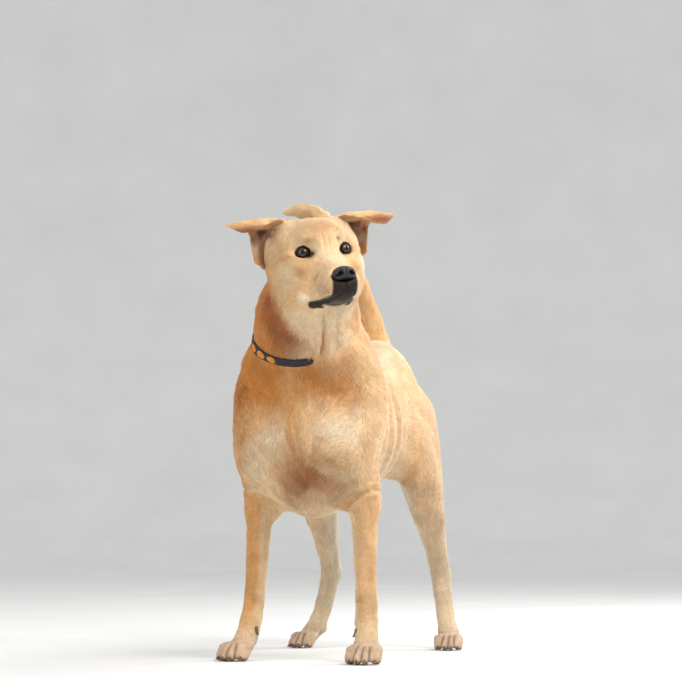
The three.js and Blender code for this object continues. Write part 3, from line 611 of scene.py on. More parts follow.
# Places are in the head frame, or from the middle of the chest, with radii and an amount after them.
CANTHUS, CANTHUS_RADII = (26.8, -18.0, -5.4), (7.4, 9, 5.8)
LIP_CORNER = (33.5, -12.5, -85.0), (21.5, -22.0, -86.8)
# Ends of the rust band behind the dog's right jaw: deeper fur with painted shade of the fold between cheek
# and neck.
JAW_EDGE = (-86.0, 70.0, -62.0), (-64.0, 38.0, -128.0)
# Patches below each ear's crest: the pink, pale, cream and deep ones are the ear's own colours; the dark ones
# in the cup are darker skin with painted shade of its folds and of the flap, and the rust and dark ones at
# the flap's front are painted shade under its fold.
EAR_PATCHES = (
    ((76, 76, 53), (9, 18, 7), EAR_DARK_AND_SHADE, 0.95), ((88, 32, 54), (11, 14, 5), EAR_DARK_AND_SHADE, 0.55),
    ((57, 52, 54), (9, 14, 5), EAR_DARK_AND_SHADE, 0.6), ((69, 50, 41), (4, 8, 3), EAR_DARK_AND_SHADE, 0.8),
    ((86, 78, 38), (8, 14, 9), BLUSH, 0.9), ((87, 75, 27), (8, 14, 7), PALE, 0.6),
    ((73, 63, 29), (7, 14, 10), CREAM, 0.9), ((95, 67, 41), (3, 10, 6), EAR_DARK_AND_SHADE, 0.7),
    ((92, 72, 10), (9, 16, 12), DEEP, 0.5), ((64, 60, 44), (5, 10, 6), CREAM, 0.5),
    ((104, 26, 49), (17, 16, 9), RUST, 0.9), ((124, 30, 49), (14, 16, 9), RUST, 0.8),
    ((112, 27, 48), (26, 16, 6), EAR_DARK_AND_SHADE, 0.4),
)
CHEST = centre("chest")
CHEST_PATCHES = (
    ((70, -115, -16), (40, 70, 34), 0.9), ((-36, -130, -30), (38, 70, 30), 0.8),
    ((102, -75, -32), (22, 60, 44), 0.7), ((38, -139, 48), (22, 40, 26), 0.35),
    ((-72, -105, -62), (26, 60, 26), 0.6),
)
BRISKET_PATCHES = (
    ((22, -120, -94), (52, 80, 26), 0.9), ((-16, -115, -128), (28, 60, 22), 0.55),
    ((64, -105, -120), (20, 50, 20), 0.5), ((20, -125, -62), (16, 60, 24), 0.4),
)
FACE_PATCHES = (
    ((64, 2, -28), (17, 20, 20), CREAM, 0.85), ((44, -19, -31), (11, 9, 9), DEEP, 0.6),
    ((27, -42, -45), (8, 9, 9), RUST, 0.5), ((43, -9, -72), (9, 9, 8), PALE, 1.0),
    ((14, -24, -2), (9, 18, 12), CREAM, 0.75), ((3, -17, 36), (22, 26, 14), DEEP, 0.5),
    ((62, 5, -5), (14, 14, 4), DEEP, 0.45), ((56, 44, -10), (16, 26, 26), DEEP, 0.45),
    ((46, -12, 20), (10, 14, 8), CREAM, 0.4), ((30, -14, -24), (8, 9, 5), DEEP, 0.3),
    ((10, -8, 26), (7, 12, 14), CREAM, 0.4), ((74, 60, 31), (9, 14, 14), CREAM, 0.5),
)


def throat_swing(local):
    """Distance across from the middle fold of the dewlap."""
    return local[:, 0] + 17 + 3.5 * np.sin((local[:, 2] + 100) / 17)


def throat_fold_shade(local, points):
    """Painted shade: 1 along the middle fold of the dewlap, from under the chin to the collar."""
    reach = ramp(local[:, 2], -96, -104) * ramp(above_collar(points), 8, 22) * ramp(local[:, 1], 70, 50)
    return bump(throat_swing(local), 1, 4) * reach


def whisker_pad(both):
    """1 on the swell that the whiskers grow from."""
    return blob(both, (29, -62, -70), (10, 22, 10))


def ear_inside(local, normals):
    """1 on the cupped inner face of each ear, below the fold of its flap."""
    aim = normals @ head_axes.T
    side, y, z = np.abs(local[:, 0]), local[:, 1], local[:, 2]
    cup = ramp(side, 102, 94) * ramp(side, 54, 62) * ramp(y, 34, 46) * ramp(z, 58, 53) * ramp(z, 18, 30)
    return ramp(-aim[:, 1], 0.0, 0.4) * ramp(aim[:, 2], 0.75, 0.5) * cup


PAWS = ("front_left", "front_right", "hind_left", "hind_right")


def toe_runs(points, between):
    """Distances ahead and aside along lines over the paws, to their claws or between them."""
    for paw in PAWS:
        claws = [centre(f"{paw}_claw_{digit}") for digit in ("first", "second", "third", "fourth")]
        low, high = node_box(f"{paw}_paw")
        heel = np.array([(low[0] + high[0]) / 2, high[1] - 22])
        for end in [(a + b) / 2 for a, b in zip(claws, claws[1:])] if between else claws:
            run = end[:2] - heel
            length = np.linalg.norm(run)
            offset = points[:, :2] - heel
            yield offset @ run / length, offset @ np.array([-run[1], run[0]]) / length, length


def toe_gaps(points):
    """1 along the gaps between the toes, on the front and top of each paw."""
    total = np.zeros(len(points))
    for ahead, aside, length in toe_runs(points, True):
        reach = ramp(ahead, length * 0.5, length * 0.78) * ramp(ahead, length * 1.25, length * 1.1)
        total += bump(aside, 0, 1.8) * reach * ramp(points[:, 2], 38, 27)
    return np.clip(total, 0, 1)


def toe_knuckles(points):
    """Each toe arched up over its middle joint, and low in front of the wrist."""
    total = np.zeros(len(points))
    for ahead, aside, length in toe_runs(points, False):
        arch = bump(ahead, length * 0.72, length * 0.13) - 0.6 * bump(ahead, length * 0.5, length * 0.1)
        total += bump(aside, 0, 4.2) * arch
    return total * ramp(points[:, 2], 50, 38) * ramp(points[:, 2], 4, 12)


PAW_STEP = 30.0
MOUTH_BACK = -10.0


def mouth_height(x, y):
    """Height of the lip line in the head frame, over its sideways and lengthways place."""
    return -77 - 9 * ramp(np.abs(x), 1, 16) + 2 * ramp(y, -60, -25) + 2 * ramp(y, -24, -12)


def near_mouth(local):
    """1 along the mouth's opening, falling to 0 behind its corners."""
    return ramp(local[:, 1], MOUTH_BACK - 3, MOUTH_BACK - 11)


WHISKER_ROWS = [
    (29.5 - 0.55 * step - 0.8 * row, -47.0 - 6.0 * step - 2.0 * row, -60.0 - 4.6 * row - 0.8 * step)
    for row in range(5) for step in range(6)]
WHISKER_SEED, WHISKER_STRAY = 5, (0.3, 1.3, 1.0)
WHISKER_ROOTS = np.array(WHISKER_ROWS)
WHISKER_ROOTS += np.random.default_rng(WHISKER_SEED).normal(size=WHISKER_ROOTS.shape) * WHISKER_STRAY


def whisker_spots(local):
    """1 at the dark roots of the whiskers, in uneven rows along the side of the muzzle."""
    total = sum(blob(local, spot, (6.0, 1.3, 1.2)) for spot in WHISKER_ROOTS)
    return np.clip(total * 1.5, 0, 1)


def coat_colour(points, normals, regions):
    """Markings at points on or over the skin, with painted light and painted shade on the sides, top, folds,
    toes and ears.
    """
    local = to_head(points)
    both = mirrored(local)
    x, y, z = local.T
    side = both[:, 0]
    head, ears, neck, trunk, front_legs, hind_legs, tail = (regions[name] for name in REGIONS)
    legs, torso = front_legs + hind_legs, trunk + neck
    across, height = normals[:, 0], points[:, 2]
    shade = np.tile(TAN, (len(points), 1))

    def lay(paint, amount):
        shade[:] = tint(shade, paint, amount)

    lay(DEEP, 0.16 + 0.13 * wave(points, 70, 3) * (1 - 0.6 * legs))
    lay(CREAM, 0.16 * wave(points, 34, 8) * (1 - 0.75 * legs))
    # Trunk: cream below, deeper over the shoulders, pale patches on the chest and rusty ones on the brisket;
    # painted shade darkens the dog's right side, and painted light pales its left side and its top.
    ahead = ramp(-normals[:, 1], 0.3, 0.85)
    chest_x = points[:, 0] - CHEST[0]
    lay(CREAM, trunk * ramp(-normals[:, 2], 0.1, 0.8) * 0.75)
    lay(DEEP, torso * ahead * ramp(height, 400, 440) * ramp(np.abs(chest_x), -14, 40) * 0.85)
    ragged = 9 * wave(points, 26, 13)
    for place, radii, amount in CHEST_PATCHES:
        near = blob(points - CHEST + ragged[:, None] * 0.8, place, radii)
        lay(PALE, trunk * ahead * near * amount * 0.8)
    for place, radii, amount in BRISKET_PATCHES:
        lay(RUST, trunk * blob(points - CHEST + ragged[:, None], place, radii) * amount)
    lay(DEEP, trunk * bump(chest_x + 0.5 * ragged, 0, 7) * ahead * ramp(height, 300, 330) * 0.5)
    # Painted shade: the dog's right side, away from the key light, made deeper and rustier; painted light:
    # its left side made creamier.
    lay(DEEP, torso * ramp(-across, 0.0, 0.8) * ramp(height, 340, 480) * 0.95)
    lay(RUST, trunk * ramp(-across, 0.4, 1.0) * ramp(-points[:, 1], 60, 150) * 0.35)
    lay(CREAM, torso * ramp(across, 0.2, 0.9) * 0.4)
    # Painted light from above: the upward-facing top of the trunk made paler and greyer.
    lay(ASH, trunk * ramp(normals[:, 2], 0.3, 0.9) * 0.5)
    # Neck: a cream throat between deep orange sides, darkest behind the jaw, where deeper fur carries painted
    # shade of the fold between cheek and neck; painted shade also runs down the dewlap's middle fold.
    facing = dot(normals, unit(-head_y)) + 0.05 * ragged / 9
    lay(DEEP, neck * ramp(-facing, -0.55, 0.3) * 0.75)
    lay(CREAM, neck * ramp(facing, 0.45, 0.85) * ramp(above_collar(points), -4, 12) * 0.85)
    # Deeper fur and painted shade along the fold between cheek and neck, on the dog's right.
    behind_jaw = segment_distance(local + ragged[:, None] * 0.5, *JAW_EDGE)
    lay(RUST, (neck + 0.5 * head) * bump(behind_jaw, 0, 24) * 0.95)
    # Painted shade down the dewlap's middle fold.
    lay(DEEP, throat_fold_shade(local, points) * 0.7)
    lay(DEEP, (neck + head) * blob(local, (57, 56, -100), (16, 30, 40)) * 0.6)
    # Legs: paler inside and behind, and towards the toes; the left front leg paler as painted light, and
    # painted shade in the gaps between the toes.
    inner = ramp(-across * np.sign(points[:, 0]), 0.2, 0.9)
    lay(DEEP, front_legs * (1 - inner) * 0.2)
    # Painted light: the dog's left front leg, on the key light's side, made creamier.
    lay(CREAM, front_legs * ramp(points[:, 0], -40, 60) * 0.35)
    lay(CREAM, legs * inner * 0.65)
    lay(PALE, hind_legs * inner * 0.6)
    lay(ASH, hind_legs * (0.45 + 0.35 * ramp(height, 300, 120)))
    lay(CREAM, legs * ramp(height, 95, 30) * 0.65)
    for name, _ in SIDES:
        low, high = node_box(f"front_{name}_leg")
        wrist = np.array([(low[0] + high[0]) / 2, low[1] + 8, low[2] + 40])
        lay(RUST, front_legs * blob(points, wrist, (8, 24, 8)) * 0.4)
    lay(BLUSH, legs * ramp(height, 56, 22) * 0.6)
    lay(ASH, legs * ramp(height, 60, 30) * 0.3)
    # Painted shade in the gaps between the toes; the paws are also darker in their lowest few millimetres.
    lay(UMBER, legs * np.maximum(toe_gaps(points) * 0.7, ramp(height, 8, 2) * 0.8))
    # Tail: deeper below its tip, which is paler.
    tip_low, tip_high = node_box("tail_tip")
    root = tip_low[2] - 60
    lay(DEEP, tail * ramp(height, root, tip_low[2]) * ramp(height, tip_high[2], tip_low[2]) * 0.4)
    lay(CREAM, tail * ramp(points[:, 0], centre("tail_tip")[0], tip_low[0]) * 0.6)
    lay(CREAM, tail * ramp(height, root, tip_high[2]) * 0.5)
    # Head: cream, with a pale blaze and the marks of the face.
    lay(CREAM, head * (0.3 + 0.22 * ramp(z, -10, 30) + 0.25 * ramp(y, 0, -60)))
    lay(PALE, head * blob(local, (-4, -60, -14), (14, 34, 16)) * 0.45)
    for place, radii, paint, amount in FACE_PATCHES:
        near = blob(both + ragged[:, None] * 0.15, place, radii)
        lay(paint, head * near * amount)
    lay(CREAM, head * ramp(z, -80, -96) * 0.85)
    lay(RUST, head * blob(local, (-26, -18, 16), (8, 9, 4)) * 0.5)
    lay(UMBER, head * blob(local, (20.6, -19, 16), (4, 6, 3)) * 0.75)
    lay(RUST, head * whisker_pad(both) * 0.35)
    lay(BLACK, head * whisker_spots(both) * 0.7)
    # Black lips, the front of the muzzle under the nose, and the rims of the eyes.
    gap = z - mouth_height(x, y) + 0.6 * ragged / 9
    lips = near_mouth(local) * ramp(gap, 4.4, 2.0) * ramp(gap, -6.5, -4.5)
    under_nose = ramp(y, -68, -84) * ramp(side, 22, 18.5) * ramp(gap, -9, -6) * ramp(z, -50, -56)
    lobe = ramp(segment_distance(both, *LIP_CORNER), 7.2, 5.8)
    chin = ramp(y, -30, -38) * ramp(gap, -1, -3) * (0.96 - 0.1 * blob(local, (0, -62, -94), (15, 18, 9)))
    black = np.maximum.reduce([lips * 0.98, under_nose * 0.98, np.clip(lobe, 0, 0.98), chin])
    lay(BLACK, head * black)
    lay(UMBER, head * ramp(eye_distance(points), EYE_RADIUS + 5.0, EYE_RADIUS + 2.0) * 0.8)
    lay(BLACK, head * np.clip(blob(both, CANTHUS, CANTHUS_RADII) * 1.8, 0, 0.96))
    # Ears: cream over the flap; in the cup pinkish brown with pale hair and dark streaks, its darker skin
    # with painted shade of its folds; below the crest, painted shade of the flap on its front and in the cup.
    cup = (ears + head) * ear_inside(local, normals)
    streak = wave(local * np.array([1.0, 1.0, 0.35]), 17, 41)
    lay(CREAM, ears * (1 - cup) * 0.25)
    lay(BLUSH, cup * 0.6)
    # Dark streaks in the cup: darker skin with painted shade of its folds.
    lay(EAR_DARK_AND_SHADE, cup * ramp(streak, 0.1, 0.6) * 0.6)
    below = np.maximum(ramp(z, 59, 54), ramp(side, 92, 100))
    under_crest = (ears + head) * ramp(y, 10, 22) * below * ramp((normals @ head_axes.T)[:, 2], 0.85, 0.6)
    # Painted shade under the flap and in the cup, with the ear's own patches; faces turned up keep their tan.
    for place, radii, paint, amount in EAR_PATCHES:
        lay(paint, under_crest * blob(both, place, radii) * amount)
    return np.clip(shade, 0, 1)


# ---- Folds of the face and body, pushed in and out of the smooth skin ----
FACE_FOLDS = (
    ((25, -8, 18), (10, 10, 5), 2.2), ((20, -14, 27), (11, 12, 3.2), -1.3),
    ((38, -8, -17), (13, 10, 2.4), -1.2), ((30, -20, -26), (11, 12, 2.4), -0.9),
    ((4.5, -26, 10), (2.2, 18, 14), -1.3),
    ((44, -19, -31), (12, 10, 9), 1.2), ((62, 5, -4), (15, 14, 2.6), -1.4), ((60, 3, 3), (15, 14, 3.0), 0.9),
    ((27, -42, -47), (9, 10, 6), 0.9), ((22, -38, -36), (9, 14, 3.0), -0.9), ((43, -9, -72), (9, 9, 8), 1.3),
)
FLANK_FOLDS = ((0, 9, -3.2), (17, 9, 2.2), (44, 8, -3.0), (62, 10, 2.4), (92, 9, -1.8))


def folds(points, normals, regions):
    """How far each point of the skin moves out along its normal."""
    local = to_head(points)
    both = mirrored(local)
    x, y, z = local.T
    side = both[:, 0]
    head = ramp(above_collar(points), 30, 60)
    gap = z - mouth_height(x, y)
    muzzle = ramp(y, -10, -35)
    mouth = near_mouth(local) * head
    out = np.zeros(len(points))
    out += mouth * (-2.6 * bump(gap, 0, 1.7) + 1.3 * bump(gap, 5.5, 4) + 0.9 * bump(gap, -4.5, 3))
    lobe = segment_distance(both, *LIP_CORNER)
    out += head * (2.4 * bump(lobe, 0, 4.5) - 1.2 * bump(lobe, 8.5, 2.0) * ramp(gap, -4, -8))
    under_nose = ramp(y, -92, -98) * ramp(z, -84, -78) * ramp(z, -60, -66)
    out += head * under_nose * (-1.5 * bump(x, 0, 1.5) + 0.6 * bump(side, 5, 3))
    out += head * muzzle * 1.4 * blob(both, (15, -84, -68), (8, 14, 8))
    out += head * 1.2 * whisker_pad(both) - head * 0.5 * whisker_spots(both)
    for place, radii, push in FACE_FOLDS:
        out += head * push * blob(both, place, radii)
    out -= head * 0.8 * blob(local, (0, 20, 40), (3, 40, 24))
    cheek = (side - 40) * 0.8 - (z + 70) * 0.6
    reach = ramp(y, -24, -8) * ramp(y, 30, 10) * ramp(z, -96, -84) * ramp(z, -50, -62)
    out -= head * 1.4 * bump(cheek, 0, 3.5) * reach
    # The ruff below each ear, the step above the paws, the edge of the jaw, and the dewlap's folds.
    out += 3.2 * blob(both, (80, 68, -12), (14, 22, 15))
    legs = regions["front"] + regions["hind"]
    out += legs * 2.4 * bump(points[:, 2], PAW_STEP, 7) * ramp(normals[:, 2], 0.75, 0.35)
    jaw = np.maximum(blob(local, (-80, 68, -62), (9, 20, 22)), blob(local, (-70, 42, -100), (8, 18, 22)))
    out -= 3.0 * jaw
    out -= 1.6 * blob(local, (57, 40, -104), (7, 22, 26))
    throat = ramp(dot(normals, -head_y), 0.1, 0.7) * ramp(z, -94, -108) * ramp(above_collar(points), 2, 18)
    swing = throat_swing(local)
    out += throat * (3.0 * bump(swing, -9, 6) - 4.2 * bump(swing, 0, 3.0) + 3.2 * bump(swing, 9, 6))
    out += throat * (-1.8 * bump(swing, 24, 4) + 1.4 * bump(swing, 33, 6) - 1.6 * bump(swing, -26, 5))
    # Loose skin where each front leg leaves the chest, down the flanks, and the gaps between the toes.
    for name, s in SIDES:
        low, high = node_box(f"front_{name}_leg")
        arm = np.array([(low[0] + high[0]) / 2, low[1] + 25, high[2] - 12])
        tilt = (points[:, 2] - arm[2]) - 0.35 * s * (points[:, 0] - arm[0])
        near = np.exp(-(((points - arm) / np.array([42, 50, 60])) ** 2).sum(1))
        wavy = tilt + 2.5 * np.sin(points[:, 0] / 9)
        out += near * (1.4 * bump(wavy, 8, 6) - 1.7 * bump(wavy, -1, 3.4) + 1.0 * bump(wavy, -10, 5))
    trunk = regions["trunk"]
    outward = ramp(np.abs(normals[:, 0]), 0.4, 0.85)
    flank = trunk * outward * ramp(points[:, 2], 285, 330) * ramp(points[:, 2], 470, 420)
    flank = flank * (0.4 + 0.4 * ramp(points[:, 0], -40, 60))
    drape = points[:, 1] + 0.22 * points[:, 2] + 5 * np.sin(points[:, 2] / 31) - 85
    for place, wide, push in FLANK_FOLDS:
        out += flank * push * bump(drape, place, wide)
    centre_line = points[:, 0] - CHEST[0] - 12 + 5 * np.sin(points[:, 2] / 19)
    ahead = ramp(-normals[:, 1], 0.4, 0.9) * trunk * ramp(points[:, 2], 270, 320)
    out += ahead * (-1.6 * bump(centre_line, 0, 4.5) + 1.3 * bump(centre_line, 11, 6))
    out += 1.6 * toe_knuckles(points) - 3.6 * toe_gaps(points)
    out += (1 - head) * 0.6 * wave(points, 46, 11)
    return out


skin_normals = vertex_normals(skin_points, skin_faces)
skin_points = skin_points + skin_normals * folds(skin_points, skin_normals, skin_regions)[:, None]
skin_points = skin_web.relax(skin_points, FOLD_ROUNDS)
skin_normals = vertex_normals(skin_points, skin_faces)
skin_tree = BVHTree.FromPolygons(skin_points.tolist(), skin_faces.tolist())
skin_colour = coat_colour(skin_points, skin_normals, skin_regions)


# ---- Materials ----
NOISE_ROUGHNESS = 0.55
PATCH_SCALE = 22.0


class Nodes:
    """Small helper for building a material's node tree."""

    def __init__(self, name):
        self.material = bpy.data.materials.new(name)
        self.material.use_nodes = True
        self.tree = self.material.node_tree
        self.shader = next(n for n in self.tree.nodes if n.type == "BSDF_PRINCIPLED")

    def add(self, kind, **values):
        node = self.tree.nodes.new(kind)
        for key, value in values.items():
            if hasattr(node, key):
                setattr(node, key, value)
            else:
                node.inputs[key.replace("_", " ")].default_value = value
        return node

    def link(self, source, target):
        self.tree.links.new(source, target)
        return source

    def attribute(self, name):
        return self.add("ShaderNodeAttribute", attribute_name=name)

    def math(self, operation, a, b=None):
        node = self.add("ShaderNodeMath", operation=operation)
        for i, value in enumerate((a, b)):
            if value is None:
                continue
            if isinstance(value, (int, float)):
                node.inputs[i].default_value = value
            else:
                self.link(value, node.inputs[i])
        return node.outputs[0]

    def mix(self, amount, one, two, blend="MIX"):
        node = self.add("ShaderNodeMix", data_type="RGBA", blend_type=blend)
        for socket, value in ((node.inputs[0], amount), (node.inputs[6], one), (node.inputs[7], two)):
            if isinstance(value, (int, float)):
                socket.default_value = value
            elif isinstance(value, bpy.types.NodeSocket):
                self.link(value, socket)
            else:
                socket.default_value = (*value, 1.0)
        return node.outputs[2]

    def place(self, stretch=(1, 1, 1)):
        """The object's own coordinates, stretched."""
        mapping = self.add("ShaderNodeMapping")
        mapping.inputs["Scale"].default_value = stretch
        self.link(self.add("ShaderNodeTexCoord").outputs["Object"], mapping.inputs["Vector"])
        return mapping.outputs[0]

    def noise(self, scale, detail, stretch=(1, 1, 1), vector=None):
        node = self.add("ShaderNodeTexNoise", Scale=scale, Detail=detail, Roughness=NOISE_ROUGHNESS)
        self.link(self.place(stretch) if vector is None else vector, node.inputs["Vector"])
        return node.outputs["Fac"]

    def fit(self, value, low, high, to_low=0.0, to_high=1.0):
        node = self.add("ShaderNodeMapRange")
        self.link(value, node.inputs[0])
        for i, number in enumerate((low, high, to_low, to_high), 1):
            node.inputs[i].default_value = number
        return node.outputs[0]

    def relief(self, height, distance, strength=1.0):
        node = self.add("ShaderNodeBump", Strength=strength, Distance=distance)
        self.link(height, node.inputs["Height"])
        self.link(node.outputs[0], self.shader.inputs["Normal"])

    def finish(self, colour=None, roughness=None, **values):
        if colour is not None:
            self.link(colour, self.shader.inputs["Base Color"])
        if roughness is not None:
            self.link(roughness, self.shader.inputs["Roughness"])
        for key, value in values.items():
            self.shader.inputs[key.replace("_", " ")].default_value = value
        return self.material


def marked(n, low, high, strand):
    """The coat's markings, with paler and darker patches and strands."""
    patch = n.fit(n.noise(PATCH_SCALE, 4.0), 0.35, 0.65, low, high)
    shade = n.math("MULTIPLY", patch, strand)
    grey = n.add("ShaderNodeCombineColor")
    for socket in range(3):
        n.link(shade, grey.inputs[socket])
    return n.mix(1.0, n.attribute("markings_and_painted_light").outputs["Color"], grey.outputs[0], "MULTIPLY")


def coat_material():
    n = Nodes("coat_tufts")
    base = marked(n, 0.88, 1.1, n.fit(n.noise(900.0, 2.0), 0.3, 0.7, 0.86, 1.12))
    rough = n.fit(n.noise(300.0, 2.0), 0.3, 0.7, 0.55, 0.75)
    return n.finish(base, rough, Specular_IOR_Level=0.35, Sheen_Weight=0.15, Sheen_Roughness=0.5)


def skin_material():
    n = Nodes("coat_skin")
    streak = n.noise(420.0, 4.0, (1.0, 1.0, 0.22))
    base = marked(n, 0.86, 1.08, n.fit(streak, 0.3, 0.7, 0.74, 1.04))
    n.relief(streak, 0.0006, 0.6)
    return n.finish(base, n.fit(streak, 0.3, 0.7, 0.6, 0.8), Specular_IOR_Level=0.3)


fur = coat_material()
hide = skin_material()


# ---- Lie of the coat ----
STRAND_SHADE = 0.06
STRAND_LIFT = 0.3
STRAND_LIMIT = 2.2
LIE_ROUNDS = 25
STRAND_ROUNDS = 12
NOSE_TIP = (0.0, -104.0, -58.0)
SWIRL = 0.26


def lie_of_coat(points, normals, owner):
    """Direction in which the hair lies, as unit vectors along the skin."""
    def on(*starts):
        return owned(owner, *starts)[:, None]

    local = to_head(points)
    flow = np.zeros_like(points)
    away = local - np.array(NOSE_TIP)
    away = away / np.maximum(np.linalg.norm(away, axis=1, keepdims=True), 1)
    down = ramp(local[:, 2], -20, -90)[:, None] * np.array([0, 0.1, -0.35])
    flow += on(*REGIONS["head"]) * ((away + down + np.array([0, 0.4, 0])) @ head_axes)
    up_ear = ramp(local[:, 2], 2, 26)[:, None]
    for name, s in SIDES:
        low, high = node_box(f"ear_{name}")
        tip = np.array([high[0] if s > 0 else low[0], low[1], (low[2] + high[2]) / 2 + 6])
        root = from_head([s * 36.0, 60.0, 42.0])
        ear_flow = unit(tip - root) + 0.5 * unit(points - root)
        ear_flow = ear_flow * up_ear + (1 - up_ear) * (0.5 * head_y - head_z)
        flow += on(f"ear_{name}") * ear_flow
    spine = unit(CHEST + np.array([0, 30, 60]) - eye_middle)
    flow += on("neck") * (spine + np.array([0, 0, -0.5]) + 0.25 * normals * np.array([1, 0, 0]))
    front = ramp(-normals[:, 1], 0.2, 0.9)[:, None]
    offset = points[:, :1] - CHEST[0]
    chest_flow = np.hstack([-0.012 * offset, -0.1 + 0 * offset, -1 + 0 * offset])
    flow += on("chest") * (front * chest_flow + (1 - front) * np.array([0.0, 1.0, -0.45]))
    flow += on("belly") * np.array([0.0, 1.0, -0.3])
    flow += on("rump") * np.array([0.0, 0.8, -0.9])
    legs = on("front", "hind")
    flow += legs * np.array([0.0, 0.25, -1.0])
    flow += ramp(points[:, 2], 60, 25)[:, None] * legs * np.array([0.0, -1.6, 0.5])
    parts = ("tail_base", "tail_middle", "tail_tip")
    middles = [centre(name) for name in parts]
    for i, name in enumerate(parts):
        flow += on(name) * unit(middles[min(i + 1, 2)] - middles[max(i - 1, 0)])
    return flow + SWIRL * np.column_stack([wave(points, 60, 20 + i) for i in range(3)])


def along_skin(vectors, normals):
    """Unit vectors with what points out of the skin taken off."""
    return unit(vectors - normals * dot(vectors, normals)[:, None])


lie = along_skin(lie_of_coat(skin_points, skin_normals, skin_owner), skin_normals)
for _ in range(LIE_ROUNDS):
    lie = along_skin(skin_web.mean(lie) + 0.5 * lie, skin_normals)
strands = skin_web.streaks(rng.normal(size=len(skin_points)), skin_points, lie, STRAND_ROUNDS)
strands = np.clip(strands, -STRAND_LIMIT, STRAND_LIMIT)
skin_colour = np.clip(skin_colour * (1 + STRAND_SHADE * strands)[:, None], 0, 1)

skin = new_object("skin", skin_points, [skin_faces], hide)
put(skin.data, "markings_and_painted_light", "FLOAT_COLOR", skin_colour)
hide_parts(*FLESH)


# ---- Tufts: how many on each region and how long, in millimetres, then where and how they grow ----
PLACE_LIMIT = 48500
TUFT_SUNK = 0.4
TUFT_THICK = 0.6
TUFT_BEND = 0.22
TUFT_STRAY, TUFT_SWIRL = 0.14, 0.3
TUFT_TONE = 0.09
ROOT_SHADE, TIP_SHADE = 0.86, 1.1
PATCH_HALF = 0.0015
MAP_EDGE = 0.005
LOWEST_AT_COLLAR = 2.4
MUZZLE_FRONT = (0.0, -100.0, -55.0)
COATS = {
    "coat_face": dict(own=("muzzle", "lower_jaw"), per=1.6, long=3.4, wide=0.55, lift=0.9),
    "coat_skull": dict(own=("head",), per=0.75, long=5.0, wide=0.75, lift=1.0),
    "coat_ears": dict(own=("ear",), per=0.8, long=4.5, wide=0.7, lift=0.6),
    "coat_neck": dict(own=("neck",), per=0.5, long=12.0, wide=1.2, lift=2.4),
    "coat_chest": dict(own=("chest",), per=0.3, long=11.0, wide=1.4, lift=2.2),
    "coat_belly": dict(own=("belly",), per=0.3, long=11.0, wide=1.4, lift=2.2),
    "coat_rump": dict(own=("rump",), per=0.3, long=11.0, wide=1.4, lift=2.3),
    "coat_tail": dict(own=("tail",), per=0.5, long=14.0, wide=1.3, lift=3.2),
    "coat_front_legs": dict(own=("front",), per=0.45, long=7.0, wide=1.0, lift=1.4),
    "coat_hind_legs": dict(own=("hind",), per=0.25, long=8.0, wide=1.2, lift=1.6),
}
COLLAR_HALF_WIDTH = 7.0
RUFF = {"head": 1.9, "ear": 1.7, "neck": 0.35}


def unwrap(name, points):
    """Place of each root on an unwrap of its own region, from 0 to 1 each way."""
    def turn(x, y):
        return np.arctan2(x, y) / (2 * math.pi) + 0.5

    def share(values):
        return (values - values.min()) / (values.max() - values.min())

    if name in ("coat_face", "coat_skull", "coat_ears"):
        d = unit(to_head(points) - np.array([0.0, 20.0, -20.0]))
        return turn(d[:, 0], -d[:, 1]), np.arccos(np.clip(d[:, 2], -1, 1)) / math.pi
    if name in ("coat_front_legs", "coat_hind_legs"):
        start = name.removeprefix("coat_").removesuffix("_legs")
        u = np.zeros(len(points))
        for i, (side, s) in enumerate(SIDES):
            mine = points[:, 0] * s > 0
            top = centre(f"{start}_{side}_" + ("leg" if start == "front" else "thigh"))
            foot = centre(f"{start}_{side}_paw")
            t = np.clip((points[:, 2] - foot[2]) / (top[2] - foot[2]), -0.2, 1.2)[:, None]
            offset = points - (foot + (top - foot) * t)
            u[mine] = turn(offset[mine, 0], -offset[mine, 1]) * 0.49 + 0.5 * i
        return u, share(points[:, 2])
    axis = 2 if name in ("coat_neck", "coat_tail") else 1
    offset = points - points.mean(0)
    return turn(offset[:, 0], offset[:, 3 - axis]), share(points[:, axis])


def bald(points, head):
    """1 where no hair grows: lips, the nose, the eyes and under the collar."""
    local = to_head(points)
    gap = local[:, 2] - mouth_height(local[:, 0], local[:, 1])
    lips = near_mouth(local) * ramp(gap, 2.6, 1.2) * ramp(gap, -4.0, -2.5)
    nose_low, nose_high = to_head(nose_points).min(0), to_head(nose_points).max(0)
    inside = np.min(np.minimum(local - nose_low + 1.0, nose_high + 1.0 - local), 1)
    bare = head * np.maximum(lips, (inside > 0))
    bare = np.maximum(bare, ramp(eye_distance(points), EYE_RADIUS + 3.6, EYE_RADIUS + 2.6))
    bare = np.maximum(bare, blob(mirrored(local), CANTHUS, CANTHUS_RADII) > 0.4)
    under = near_collar(points) & (np.abs(above_collar(points)) < COLLAR_HALF_WIDTH + 1)
    return np.maximum(bare, under * (collar_hidden(collar_angle(points)) < 0.5))


def scatter(faces, per):
    """Evenly spread places, so many to a square millimetre: face numbers, and weights of their corners."""
    area = np.linalg.norm(face_normals(skin_points, skin_faces[faces]), axis=1) / 2
    count = int(min(PLACE_LIMIT, per * area.sum()))
    total = np.cumsum(area)
    picks = (np.arange(count) + rng.random(count)) / count * total[-1]
    chosen = faces[np.minimum(np.searchsorted(total, picks), len(faces) - 1)]
    a, b = rng.random(count), rng.random(count)
    flip = a + b > 1
    a[flip], b[flip] = 1 - a[flip], 1 - b[flip]
    return chosen, np.column_stack([1 - a - b, a, b])


def at(values, faces, weights):
    """The skin's values at scattered places."""
    return np.einsum("ij,ij...->i...", weights, values[skin_faces[faces]])


